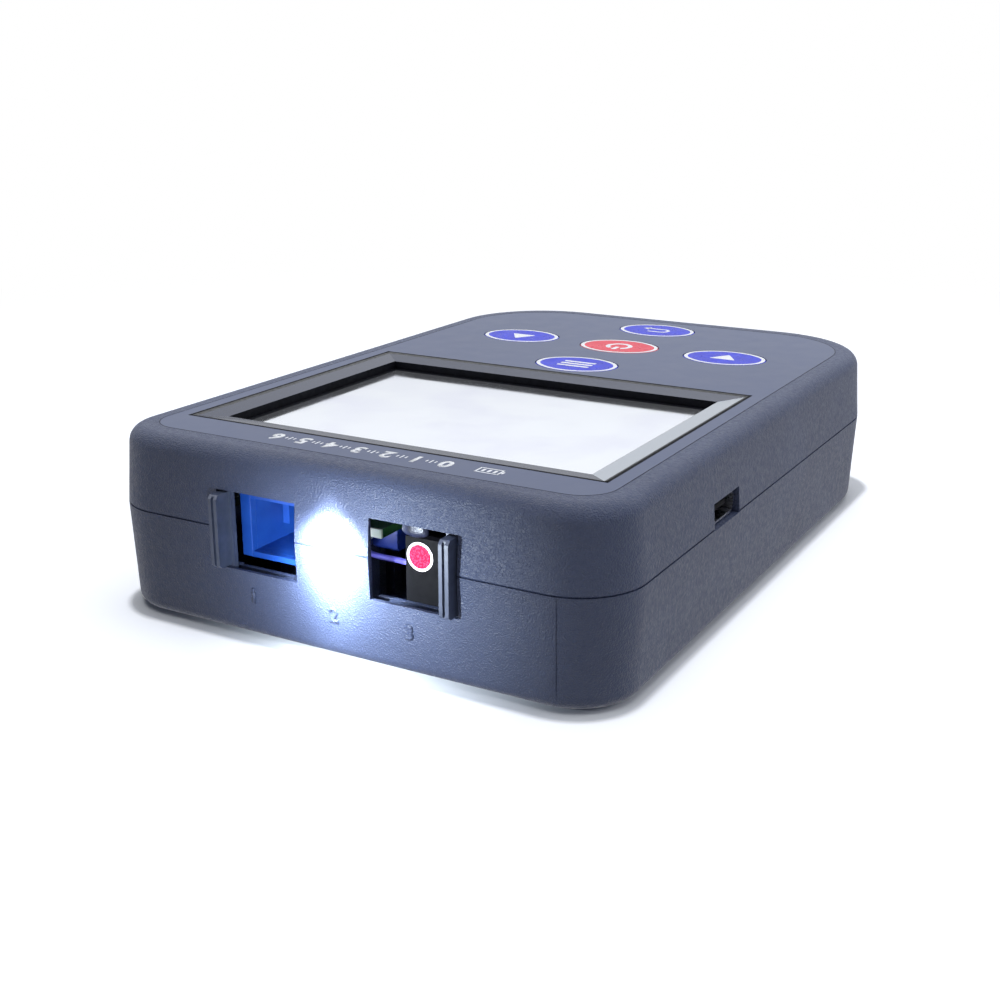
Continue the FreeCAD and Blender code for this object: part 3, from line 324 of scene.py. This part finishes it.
def metal_finish(name, colour, other, roughness, stretch, scale=900):
    """Metal with fine marks along one direction."""
    made = Finish(name, colour, roughness, Metallic=1.0)
    marks = made.noise(scale, 3, stretch=stretch)
    made.drive("Base Color", made.blend(made.spread(marks, 0.35, 0.65, 0, 1), colour, other))
    made.drive("Roughness", made.spread(marks, 0.3, 0.7, roughness * 0.8, roughness * 1.25))
    made.drive("Normal", made.bump(marks, 0.01 * MM, 0.3))
    return made.material


case_look = case_finish()
film_look = film_finish()
ink_look = ink_finish()
blue_key_look = key_finish("key_blue_look", paint(36, 48, 205), paint(48, 64, 230))
red_key_look = key_finish("key_red_look", paint(236, 60, 84), paint(248, 82, 102))
port_look = port_finish()
shutter_look = plain_finish("shutter_look", paint(58, 65, 84), paint(66, 73, 94), 0.4, 700, 0.03)
black_look = plain_finish("black_plastic_look", paint(3, 3, 6), paint(6, 6, 10), 0.6, Specular_IOR_Level=0.08)
holder_look = plain_finish("lamp_holder_look", paint(24, 52, 150), paint(30, 62, 170), 0.4)
bead_look = plain_finish(
    "bead_look", paint(20, 23, 38), paint(40, 44, 66), 0.32, 900, 0.1, Specular_IOR_Level=0.25
)
ceramic_look = plain_finish("ceramic_look", paint(240, 240, 232), paint(228, 228, 222), 0.12)
white_look = plain_finish("white_plastic_look", paint(236, 236, 238), paint(224, 224, 228), 0.4)
# painted glow: the pale barrel round the red sleeve gives off light though it is no lamp
glowing_barrel_look = plain_finish(
    "glowing_barrel_look", paint(250, 240, 244), paint(238, 226, 232), 0.3,
    Emission_Color=paint(255, 236, 242), Emission_Strength=0.35,
)
connector_look = plain_finish("connector_look", paint(232, 226, 206), paint(220, 213, 190), 0.45)
amber_look = plain_finish("flex_look", paint(196, 128, 36), paint(176, 108, 26), 0.3, 300, 0.01)
chip_look = plain_finish("chip_look", paint(30, 30, 33), paint(40, 40, 44), 0.5)
jacket_look = plain_finish("fibre_jacket_look", paint(240, 224, 92), paint(228, 210, 74), 0.3)
boot_look = plain_finish("boot_look", paint(226, 226, 226), paint(212, 212, 214), 0.6)
tray_look = plain_finish("tray_look", paint(190, 192, 196), paint(176, 178, 184), 0.5)
wrap_look = plain_finish("battery_wrap_look", paint(36, 92, 168), paint(44, 106, 184), 0.22, 120, 0.06)
red_lead_look = plain_finish("lead_look", paint(168, 22, 24), paint(150, 16, 20), 0.4)
# black for the window's walls and the panel's border, and painted shadow for the line round the frame
black_and_shade_look = plain_finish("black_and_shade_look", paint(5, 6, 10), paint(9, 10, 16), 0.7, Specular_IOR_Level=0.08)
# painted shade for the gap round the film
gap_shade_look = plain_finish("gap_shade_look", paint(26, 30, 44), paint(34, 38, 54), 0.6, Specular_IOR_Level=0.2)
protector_look = plain_finish("protector_edge_look", paint(196, 200, 216), paint(222, 225, 238), 0.3)
violet_lead_look = plain_finish("violet_lead_look", paint(92, 88, 190), paint(106, 102, 206), 0.4)
tin_look = metal_finish("tin_look", paint(206, 208, 214), paint(186, 188, 196), 0.26, (1, 1, 6))
milled_look = metal_finish("milled_look", paint(196, 198, 204), paint(178, 180, 188), 0.32, (1, 14, 1))
gold_look = metal_finish("gold_look", paint(226, 186, 110), paint(206, 164, 90), 0.24, (1, 1, 1))
screw_look = metal_finish("screw_look", paint(92, 94, 100), paint(74, 76, 82), 0.34, (1, 1, 1))
brass_look = metal_finish("brass_look", paint(214, 176, 98), paint(190, 150, 76), 0.3, (1, 1, 10))
stem_look = plain_finish("stem_look", paint(214, 214, 208), paint(200, 200, 194), 0.45)

LOOKS = {
    "upper_housing": case_look,
    "lower_housing": case_look,
    "keypad_overlay": film_look,
    "tact_switches": chip_look,
    "display_gasket": foam_finish(),
    "lcd_glass": screen_finish(),
    "lcd_backlight": white_look,
    "lcd_flex": amber_look,
    "flex_connector": connector_look,
    "main_board": board_finish(),
    "board_chips": chip_look,
    "shield_can": tin_look,
    "led_torch": lamp_finish(),
    "led_holder": holder_look,
    "sc_adapter": port_look,
    "sc_sleeve": ceramic_look,
    "sc_plug": port_look,
    "sc_ferrule": ceramic_look,
    "sc_boot": boot_look,
    "fibre_pigtail": jacket_look,
    "fibre_tray": tray_look,
    "optical_engine": milled_look,
    "vfl_holder": black_look,
    "vfl_barrel": glowing_barrel_look,
    "vfl_sleeve": glow_finish(),
    "vfl_laser_diode": gold_look,
    "vfl_screws": screw_look,
    "vfl_lead": violet_lead_look,
    "usb_shell": tin_look,
    "usb_tongue": black_look,
    "battery_pack": wrap_look,
    "battery_socket": connector_look,
    "battery_leads": red_lead_look,
    "shutter_right": shutter_look,
    "shutter_left": shutter_look,
    "case_screws": screw_look,
    "threaded_inserts": brass_look,
    "board_screws": screw_look,
}
LOOKS["lcd_foam_pads"] = LOOKS["battery_foam"] = LOOKS["display_gasket"]
for key in KEYS:
    LOOKS["key_" + key] = red_key_look if key == "centre" else blue_key_look
    LOOKS["key_plunger_" + key] = LOOKS["switch_button_" + key] = stem_look


def dress(node, look):
    slots = node.data.materials
    if len(slots) == 0:
        slots.append(look)
    for number in range(len(slots)):
        slots[number] = look


for name, look in LOOKS.items():
    dress(nodes[name], look)


# ---------------------------------------------------------------- modelling by hand


def deselect():
    bpy.ops.object.select_all(action="DESELECT")


def hold(piece):
    """Selects one piece alone and makes it active."""
    deselect()
    piece.select_set(True)
    bpy.context.view_layer.objects.active = piece


def edit(piece):
    hold(piece)
    bpy.ops.object.mode_set(mode="EDIT")
    bpy.ops.mesh.select_mode(type="FACE")


def done():
    bpy.ops.object.mode_set(mode="OBJECT")


def pick(piece, wanted):
    """Selects the faces that pass a test, in edit mode."""
    bpy.ops.mesh.select_all(action="DESELECT")
    shape = bmesh.from_edit_mesh(piece.data)
    for face in shape.faces:
        face.select_set(wanted(face))
    bmesh.update_edit_mesh(piece.data)


def apply(piece, kind, **settings):
    hold(piece)
    modifier = piece.modifiers.new(kind.lower(), kind)
    for name, value in settings.items():
        setattr(modifier, name, value)
    bpy.ops.object.modifier_apply(modifier=modifier.name)


def settle(piece, name, look, body):
    """Names a piece, puts its place into its mesh, and gives it its finish and its body."""
    hold(piece)
    bpy.ops.object.transform_apply(location=True, rotation=True, scale=True)
    piece.name = name
    piece.data.name = name
    piece.data.materials.clear()
    piece.data.materials.append(look)
    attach(piece, body)


def join(pieces):
    hold(pieces[0])
    for other in pieces[1:]:
        other.select_set(True)
    bpy.ops.object.join()
    return bpy.context.object


def lifted_top(node):
    """A copy of a solid's level top, left in edit mode."""
    piece = node.copy()
    piece.data = node.data.copy()
    for tag in [name for name in piece.keys() if name.startswith("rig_")]:
        del piece[tag]
    piece.parent = None
    bpy.context.collection.objects.link(piece)
    edit(piece)
    bpy.ops.mesh.select_all(action="SELECT")
    bpy.ops.mesh.remove_doubles(threshold=0.002 * MM)
    pick(piece, lambda face: face.normal.z < 0.999 or face.calc_center_median().z < top - 0.01 * MM)
    bpy.ops.mesh.delete(type="FACE")
    return piece


def block(middle, size):
    """A cube stretched to its size round its middle."""
    deselect()
    bpy.ops.mesh.primitive_cube_add(size=1, location=middle)
    piece = bpy.context.object
    piece.scale = size
    bpy.ops.object.transform_apply(location=False, rotation=False, scale=True)
    return piece


def flat(sides, x, y, z, width, length, turn=0.0):
    """A filled outline of so many sides, lying flat, to become a print."""
    deselect()
    bpy.ops.mesh.primitive_circle_add(
        vertices=sides, radius=0.5, fill_type="NGON", location=(0, 0, 0), rotation=(0, 0, turn)
    )
    piece = bpy.context.object
    bpy.ops.object.transform_apply(rotation=True)
    piece.scale = (width, length, 1)
    piece.location = (x, y, z)
    bpy.ops.object.transform_apply(location=True, scale=True)
    return piece


def bar(x, y, z, width, length, turn=0.0):
    """A flat bar with its corners taken off."""
    deselect()
    bpy.ops.mesh.primitive_plane_add(size=1, location=(x, y, z), rotation=(0, 0, turn))
    piece = bpy.context.object
    piece.scale = (width, length, 1)
    bpy.ops.object.transform_apply(location=False, rotation=False, scale=True)
    edit(piece)
    bpy.ops.mesh.select_all(action="SELECT")
    bpy.ops.mesh.bevel(offset=min(width, length) * 0.3, segments=3, affect="VERTICES")
    done()
    return piece


def hoop(x, y, z, outer, line, start=0.0, sweep=math.tau, sides=48):
    """A flat ring, or a part of one that begins at an angle."""
    piece = flat(sides, x, y, z, outer, outer)
    edit(piece)
    bpy.ops.mesh.select_all(action="SELECT")
    bpy.ops.mesh.inset(thickness=line)
    bpy.ops.mesh.delete(type="FACE")

    def outside(face):
        centre = face.calc_center_median()
        return (math.atan2(centre.y - y, centre.x - x) - start) % math.tau > sweep

    if sweep < math.tau:
        pick(piece, outside)
        bpy.ops.mesh.delete(type="FACE")
    done()
    return piece


def printed(pieces, name, body, look=ink_look):
    """Joins flat shapes and gives them the thickness of ink."""
    layer = join(pieces)
    apply(layer, "SOLIDIFY", thickness=INK, offset=1.0)
    settle(layer, name, look, body)


def numeral(text, x, y, z, height, turn=0.0):
    """A flat number, made a mesh, read with the turn given."""
    deselect()
    bpy.ops.object.text_add(location=(x, y, z), rotation=(0, 0, turn))
    letters = bpy.context.object
    letters.data.body = text
    letters.data.size = height / 0.7
    letters.data.align_x = "CENTER"
    letters.data.align_y = "CENTER"
    letters.data.resolution_u = 6
    letters.data.offset = height * NUMERAL_WEIGHT
    bpy.ops.object.convert(target="MESH")
    return bpy.context.object


# ---------------------------------------------------------------- prints on the keys


def key_centre(key):
    low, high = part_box("key_" + key)
    return (low + high) / 2


def key_rim(key):
    """White line round a key, lifted from the cap's own outline."""
    ring = lifted_top(nodes["key_" + key])
    bpy.ops.mesh.select_all(action="SELECT")
    bpy.ops.mesh.dissolve_faces()
    bpy.ops.mesh.inset(thickness=KEY_RIM)
    bpy.ops.mesh.delete(type="FACE")
    done()
    printed([ring], "key_rim_" + key, "key_" + key)


def arrow_mark(key, towards):
    """Solid triangle pointing along Y."""
    centre = key_centre(key)
    piece = flat(3, centre.x, centre.y, top, 5.4 * MM * towards, 5.0 * MM * towards)
    edit(piece)
    bpy.ops.mesh.select_all(action="SELECT")
    bpy.ops.mesh.bevel(offset=0.35 * MM, segments=3, affect="VERTICES")
    if towards < 0:
        bpy.ops.mesh.normals_make_consistent(inside=False)
    done()
    printed([piece], "key_mark_" + key, "key_" + key)


def list_mark(key):
    """Three bars."""
    centre = key_centre(key)
    bars = [bar(centre.x, centre.y + step * 1.5 * MM, top, 5.8 * MM, 0.8 * MM) for step in (-1, 0, 1)]
    printed(bars, "key_mark_" + key, "key_" + key)


def return_mark(key):
    """Arrow that turns back on itself, read from the rear end."""
    centre = key_centre(key)
    x, y = centre.x, centre.y
    bend = hoop(x + 1.0 * MM, y, top, 3.0 * MM, 0.55 * MM, math.radians(-90), math.pi)
    upper = bar(x - 0.6 * MM, y + 1.225 * MM, top, 3.4 * MM, 0.55 * MM)
    lower = bar(x - 0.2 * MM, y - 1.225 * MM, top, 2.4 * MM, 0.55 * MM)
    head = flat(3, x - 2.3 * MM, y + 1.225 * MM, top, 1.8 * MM, 2.2 * MM, math.radians(90))
    printed([bend, upper, lower, head], "key_mark_" + key, "key_" + key)


def power_mark(key):
    """Open ring with a bar through its gap."""
    centre = key_centre(key)
    gap = math.radians(56)
    ring = hoop(centre.x, centre.y, top, 4.8 * MM, 0.8 * MM, math.radians(-90) + gap / 2, math.tau - gap)
    stroke = bar(centre.x, centre.y - 1.7 * MM, top, 0.8 * MM, 2.3 * MM)
    printed([ring, stroke], "key_mark_" + key, "key_" + key)


for key in KEYS:
    key_rim(key)
arrow_mark("left", -1)
arrow_mark("right", 1)
list_mark("front")
return_mark("rear")
power_mark("centre")


# ---------------------------------------------------------------- prints on the film


def scale_print():
    """Plain numbers with ticks between them, read from the rear end."""
    y = overlay_low.y + PRINT_LINE
    pitch = 4.5 * MM
    middle = -1.4 * MM
    pieces = []
    for place in range(7):
        x = middle - (place - 3) * pitch
        pieces.append(numeral(str(place), x, y, top, DIGIT_HEIGHT, math.pi))
        if place < 6:
            for step, length in ((0.35, 0.7), (0.5, 1.2), (0.65, 0.7)):
                pieces.append(bar(x - pitch * step, y, top, 0.22 * MM, length * MM))
    printed(pieces, "scale_print", "case")


def battery_print():
    """Small battery sign with three cells."""
    x, y = 18.4 * MM, overlay_low.y + PRINT_LINE
    length, width, line = 3.2 * MM, 1.8 * MM, 0.24 * MM
    pieces = [
        bar(x, y + width / 2, top, length, line),
        bar(x, y - width / 2, top, length, line),
        bar(x + length / 2, y, top, line, width + line),
        bar(x - length / 2, y, top, line, width + line),
        bar(x + length / 2 + 0.35 * MM, y, top, 0.3 * MM, 0.8 * MM),
    ]
    for step in (-1, 0, 1):
        pieces.append(bar(x + step * 0.85 * MM, y, top, 0.42 * MM, 1.0 * MM))
    printed(pieces, "battery_print", "case")


scale_print()
battery_print()


# ---------------------------------------------------------------- round the screen


def window_liner():
    """Black mask on the walls of the screen's window."""
    inset = Vector((BEVEL + INK, BEVEL + INK, 0))
    low, high = frame_low + inset, frame_high - inset
    low.z, high.z = glass_top + PANEL, frame_low.z - INK
    piece = block((low + high) / 2, high - low)
    edit(piece)
    pick(piece, lambda face: abs(face.normal.z) > 0.5)
    bpy.ops.mesh.delete(type="FACE")
    done()
    apply(piece, "SOLIDIFY", thickness=INK * 3, offset=-1.0)
    settle(piece, "window_liner", black_and_shade_look, "case")


def touch_panel():
    """Clear panel over the display, lit white from below, with the edge of its protector to the right."""
    low = Vector((frame_low.x + BEVEL, frame_low.y + BEVEL, glass_top))
    high = Vector((frame_high.x - BEVEL, frame_high.y - BEVEL, glass_top + PANEL))
    deselect()
    bpy.ops.mesh.primitive_cube_add(size=1, location=(0, 0, 0))
    panel = bpy.context.object
    panel.scale = high - low
    panel.location = (low + high) / 2
    apply(panel, "BEVEL", width=INK, segments=2)
    settle(panel, "touch_panel", LOOKS["lcd_glass"], "case")
    near, far, left, right = 2.0 * MM, 1.0 * MM, 1.0 * MM, 0.5 * MM
    middle = (low.y + near + high.y - far) / 2
    sides = [
        bar((low.x + high.x) / 2, low.y + near / 2, high.z, high.x - low.x, near),
        bar((low.x + high.x) / 2, high.y - far / 2, high.z, high.x - low.x, far),
        bar(low.x + left / 2, middle, high.z, left, high.y - low.y - near - far),
        bar(high.x - right / 2, middle, high.z, right, high.y - low.y - near - far),
    ]
    printed(sides, "panel_border", "case", black_and_shade_look)
    line, inset = 0.12 * MM, 1.4 * MM
    x, y = high.x - inset, low.y + 2.8 * MM
    pieces = [
        bar(x, (low.y + high.y) / 2, high.z, line, high.y - low.y),
        bar((low.x + high.x) / 2, y, high.z, high.x - low.x, line),
    ]
    printed(pieces, "protector_edge", "case", protector_look)


def frame_line():
    """Painted shadow: a black line round the display's frame, where the shade of the gap at the frame's edge
    falls.
    """
    line = 0.46 * MM
    x, y0, y1 = frame_high.x + line / 2, frame_low.y - line / 2, frame_high.y + line / 2
    pieces = [bar(side * x, (y0 + y1) / 2, top, line, y1 - y0 + line) for side in (-1, 1)]
    pieces += [bar(0, y, top, x * 2 + line, line) for y in (y0, y1)]
    printed(pieces, "frame_line", "case", black_and_shade_look)


def film_gap():
    """Painted shade: a fine dark ring over the gap round the printed film, lifted from the film's own
    outline.
    """
    edge = lifted_top(nodes["keypad_overlay"])
    shape = bmesh.from_edit_mesh(edge.data)
    rim = [line for line in shape.edges if line.is_boundary]
    ring, ahead = set(), [max(shape.verts, key=lambda vert: vert.co.x)]
    while ahead:
        vert = ahead.pop()
        if vert not in ring:
            ring.add(vert)
            ahead += [line.other_vert(vert) for line in vert.link_edges if line.is_boundary]
    keep = set(line for line in rim if line.verts[0] in ring)
    bmesh.ops.delete(shape, geom=shape.faces[:], context="FACES_ONLY")
    bmesh.ops.delete(shape, geom=[line for line in shape.edges if line not in keep], context="EDGES_FACES")
    bmesh.ops.delete(shape, geom=[vert for vert in shape.verts if vert not in ring], context="VERTS")
    bmesh.update_edit_mesh(edge.data)
    bpy.ops.mesh.select_mode(type="EDGE")
    bpy.ops.mesh.select_all(action="SELECT")
    bpy.ops.mesh.extrude_region()
    size = overlay_high - overlay_low
    gap = 0.2 * MM
    grow = (1 + gap / size.x, 1 + gap / size.y, 1)
    bpy.ops.transform.resize(value=grow, center_override=(overlay_low + overlay_high) / 2)
    bpy.ops.mesh.select_all(action="SELECT")
    bpy.ops.mesh.normals_make_consistent(inside=False)
    done()
    printed([edge], "film_gap_shade_line", "case", gap_shade_look)


window_liner()
touch_panel()
frame_line()
film_gap()


# ---------------------------------------------------------------- mouldings on the front


def on_front(piece, x, z):
    """Turns a flat piece from lying at the origin to standing on the lower front wall."""
    lean = math.atan(lower_lean)
    y = front + lower_lean * (parting - z)
    piece.rotation_euler = (math.radians(90) + lean, 0, 0)
    piece.location = (x, y, z)


def port_number(text, x):
    """Raised number under a port, read from the rear end."""
    letters = numeral(text, 0, 0, 0, RELIEF_HEIGHT, math.pi)
    hold(letters)
    apply(letters, "SOLIDIFY", thickness=RELIEF, offset=1.0)
    on_front(letters, x, RELIEF_LINE)
    settle(letters, "port_number_" + text, case_look, "case")


def witness_line():
    """Fine upright line that the mould leaves near the corner of the lower housing."""
    x = 32.3 * MM
    inset = CORNER - math.sqrt(CORNER ** 2 - (x - CORNER_X) ** 2)
    low, high = 1.8 * MM, parting - 0.1 * MM
    piece = block((0, 0, 0), (0.2 * MM, 0.2 * MM, high - low))
    edit(piece)
    bpy.ops.mesh.select_all(action="SELECT")
    bpy.ops.mesh.subdivide(number_cuts=3)
    done()
    apply(piece, "BEVEL", width=0.03 * MM, segments=2)
    middle = (low + high) / 2
    piece.rotation_euler = (math.atan(lower_lean), 0, math.radians(9.4))
    piece.location = (x, front + inset + lower_lean * (parting - middle) + 0.01 * MM, middle)
    settle(piece, "mould_witness_line", case_look, "case")


def glue_bead():
    """Drop of setting glue on top of the light port's barrel."""
    deselect()
    bpy.ops.mesh.primitive_uv_sphere_add(segments=32, ring_count=16, radius=1, location=(0, 0, 0))
    piece = bpy.context.object
    piece.scale = (1.9 * MM, 0.6 * MM, 1.7 * MM)
    bpy.ops.object.transform_apply(scale=True)
    edit(piece)
    pick(piece, lambda face: face.calc_center_median().z < -0.2 * MM)
    bpy.ops.transform.resize(value=(1.12, 1.05, 0.6))
    done()
    apply(piece, "SUBSURF", levels=1, render_levels=1)
    bpy.ops.object.shade_smooth()
    piece.location = (ring_axis.x - 0.7 * MM, ring_low.y + 0.2 * MM, ring_high.z + 1.9 * MM)
    settle(piece, "glue_bead", bead_look, "case")


def facing_disc(name, across, thickness, place, look):
    """A thin disc that faces the front."""
    piece = flat(48, 0, 0, 0, across, across)
    apply(piece, "SOLIDIFY", thickness=thickness, offset=0.0)
    piece.rotation_euler = (math.pi / 2, 0, 0)
    piece.location = place
    settle(piece, name, look, "case")


def lamp_window():
    """Clear front of the lamp, which fills its hole."""
    place = (lamp_x, front + 0.06 * MM, parting)
    facing_disc("lamp_window", 3.3 * MM, 0.15 * MM, place, LOOKS["led_torch"])


def port_collar():
    """Raised rim round the mouth of the square port."""
    low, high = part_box("sc_adapter")
    inset = Vector((0.8, 0, 0.8)) * MM
    low, high = low + inset, high - inset
    wall, rim, depth = 1.75 * MM, 0.85 * MM, 1.1 * MM
    middle = (low + high) / 2
    pieces = []
    for side in (-1, 1):
        upright = (middle.x + side * ((high.x - low.x) - wall) / 2, middle.z, wall, high.z - low.z)
        rail = (middle.x, middle.z + side * ((high.z - low.z) - rim) / 2, high.x - low.x - 2 * wall, rim)
        for x, z, width, height in (upright, rail):
            pieces.append(block((x, low.y - depth / 2, z), (width, depth, height)))
    collar = join(pieces)
    apply(collar, "BEVEL", width=0.1 * MM, segments=2)
    settle(collar, "port_collar", port_look, "case")


def glow_face():
    """Red glow spread over the end of the sleeve, inside the pale ring."""
    place = (ring_axis.x, ring_low.y - 0.02 * MM, ring_axis.z)
    facing_disc("glow_face", 3.1 * MM, 0.04 * MM, place, LOOKS["vfl_sleeve"])


for text, x in (("1", -13.4 * MM), ("2", -0.1 * MM), ("3", 11.6 * MM)):
    port_number(text, x)
witness_line()
glue_bead()
lamp_window()
port_collar()
glow_face()


# ---------------------------------------------------------------- stage, lamps and camera


def height_of(angle):
    """How high a ray at an angle above the horizon points, in degrees."""
    return math.sin(math.radians(angle))


def stage_floor():
    """Pale floor that keeps the tester's shadow, with a painted contact shadow round its footprint, and is
    plain white far off and in reflections.
    """
    deselect()
    bpy.ops.mesh.primitive_plane_add(size=6, location=(0, 0, -0.35 * MM))
    floor = bpy.context.object
    floor.name = "floor"
    material = bpy.data.materials.new("floor_look")
    material.use_nodes = True
    made = Wiring(material.node_tree)
    made.tree.nodes.clear()
    ray = made.node("ShaderNodeLightPath").outputs
    place = made.node("ShaderNodeTexCoord").outputs["Object"]
    reach = made.node("ShaderNodeVectorMath", {0: place}, operation="LENGTH").outputs["Value"]
    distant = made.maths("MULTIPLY", ray["Is Camera Ray"], made.ease(reach, 0.1, 0.3))
    # distance outside the tester's footprint, which is a rectangle grown by its corner radius
    half = (lower_high - lower_low) / 2
    core = (half.x - CORNER, half.y - CORNER, 0)
    gap = made.node("ShaderNodeVectorMath", {0: place}, operation="ABSOLUTE").outputs["Vector"]
    gap = made.node("ShaderNodeVectorMath", {0: gap, 1: core}, operation="SUBTRACT").outputs["Vector"]
    gap = made.node("ShaderNodeVectorMath", {0: gap, 1: (0, 0, 0)}, operation="MAXIMUM").outputs["Vector"]
    gap = made.node("ShaderNodeVectorMath", {0: gap}, operation="LENGTH").outputs["Value"]
    # painted contact shadow: camera rays lose the floor's white lift under the footprint and in a narrow band
    # round it
    clear = made.ease(gap, CORNER - 0.2 * MM, CORNER + 1.3 * MM, 0.0, 0.55)
    level = made.maths("MULTIPLY", ray["Is Camera Ray"], clear)
    pale = made.node("ShaderNodeBsdfDiffuse", {"Color": (0.88, 0.89, 0.92, 1)}).outputs[0]
    lift = made.glow("ShaderNodeEmission", (0.9, 0.93, 1.0), level)
    both = made.node("ShaderNodeAddShader", {0: pale, 1: lift}).outputs[0]
    white = made.glow("ShaderNodeEmission", (1, 1, 1))
    mirrored = made.maths("MAXIMUM", ray["Is Glossy Ray"], ray["Is Transmission Ray"])
    shown = made.mix(made.maths("MAXIMUM", mirrored, distant), both, white)
    made.node("ShaderNodeOutputMaterial", {"Surface": shown})
    floor.data.materials.append(material)


def studio_world():
    """White backdrop, with a dim band and a bright bank overhead in reflections, and an even soft fill."""
    world = bpy.data.worlds.new("studio")
    world.use_nodes = True
    bpy.context.scene.world = world
    made = Wiring(world.node_tree)
    made.tree.nodes.clear()
    ray = made.node("ShaderNodeLightPath").outputs
    place = made.node("ShaderNodeTexCoord").outputs["Generated"]
    up = made.node("ShaderNodeSeparateXYZ", {0: place}).outputs["Z"]
    walls = made.ease(up, height_of(22), height_of(30), 1.0, 0.4)
    horizon = made.ease(up, height_of(9), height_of(16), 0.68)
    overhead = made.ease(up, height_of(24), height_of(38), 0.0, 2.8)
    crown = made.ease(up, height_of(46), height_of(68), 1.0, 0.45)
    sky = made.maths("ADD", made.maths("MULTIPLY", walls, horizon), made.maths("MULTIPLY", overhead, crown))
    fill = made.glow("ShaderNodeBackground", (0.86, 0.92, 1.0), 0.08)
    mirror = made.glow("ShaderNodeBackground", (0.95, 0.97, 1.0), sky)
    backdrop = made.glow("ShaderNodeBackground", (1, 1, 1))
    seen = made.maths("MAXIMUM", ray["Is Camera Ray"], ray["Is Transmission Ray"])
    shown = made.mix(seen, made.mix(ray["Is Glossy Ray"], fill, mirror), backdrop)
    made.node("ShaderNodeOutputWorld", {"Surface": shown})


def hang(name, lamp, place, aim):
    """Puts a lamp at a place, turned towards its aim."""
    body = bpy.data.objects.new(name, lamp)
    body.location = place
    body.rotation_mode = "QUATERNION"
    body.rotation_quaternion = (aim - place).to_track_quat("-Z", "Y")
    bpy.context.collection.objects.link(body)
    return body


def soft_lamp(name, place, aim, size, power, colour):
    """A large soft box that reflections don't show."""
    lamp = bpy.data.lights.new(name, "AREA")
    lamp.shape = "RECTANGLE"
    lamp.size, lamp.size_y = size
    lamp.energy = power
    lamp.color = colour
    hang(name, lamp, Vector(place), Vector(aim)).visible_glossy = False


def torch_light(name, place, aim, spread, power, narrow=1.0):
    """The lamp's own light, thrown back on the wall round it. Both points are in mm from the lamp."""
    lamp = bpy.data.lights.new(name, "SPOT")
    lamp.energy = power
    lamp.spot_size = math.radians(spread)
    lamp.spot_blend = 1.0
    lamp.color = (0.82, 0.92, 1.0)
    lamp.specular_factor = 0.35
    lamp.shadow_soft_size = 1.2 * MM
    centre = Vector((lamp_x, front, parting))
    body = hang(name, lamp, centre + Vector(place) * MM, centre + Vector(aim) * MM)
    body.scale = (narrow, 1, 1)
    body.visible_camera = False


def studio_camera():
    """Low three-quarter view on the port end."""
    aim = Vector((4.78 * MM, -23.71 * MM, 13.0 * MM))
    azimuth, elevation, distance = math.radians(29.69), math.radians(17.97), 202.15 * MM
    level = math.cos(elevation)
    back = Vector((math.sin(azimuth) * level, -math.cos(azimuth) * level, math.sin(elevation)))
    camera = bpy.data.cameras.new("camera")
    camera.lens = 49.3
    camera.sensor_width = 36
    camera.shift_x = 0.0051
    camera.clip_start = 0.01
    body = bpy.data.objects.new("camera", camera)
    body.location = aim + back * distance
    body.rotation_mode = "QUATERNION"
    body.rotation_quaternion = (-back).to_track_quat("-Z", "Y")
    bpy.context.collection.objects.link(body)
    bpy.context.scene.camera = body


stage_floor()
studio_world()
soft_lamp("top_softbox", (-0.03, 0.03, 0.62), (0, 0, 0), (0.6, 0.6), 3.0, (0.95, 0.975, 1.0))
soft_lamp("right_softbox", (0.5, 0.2, 0.3), (0, 0, 0.01), (0.4, 0.4), 1.15, (0.93, 0.96, 1.0))
torch_light("torch_core", (0, -6.5, 3.0), (0, 0, -0.6), 94, 0.2)
torch_light("torch_streak", (0.8, -9.0, 2.0), (0, 0, -1.0), 104, 0.11, 0.36)
torch_light("torch_halo", (2.0, -18.0, -2.5), (1.5, 0, -4.0), 100, 0.05)
torch_light("torch_spill", (7.0, -30.0, -1.0), (6.0, 0, -2.5), 100, 0.115)
studio_camera()
bpy.context.scene.view_settings.view_transform = "Standard"
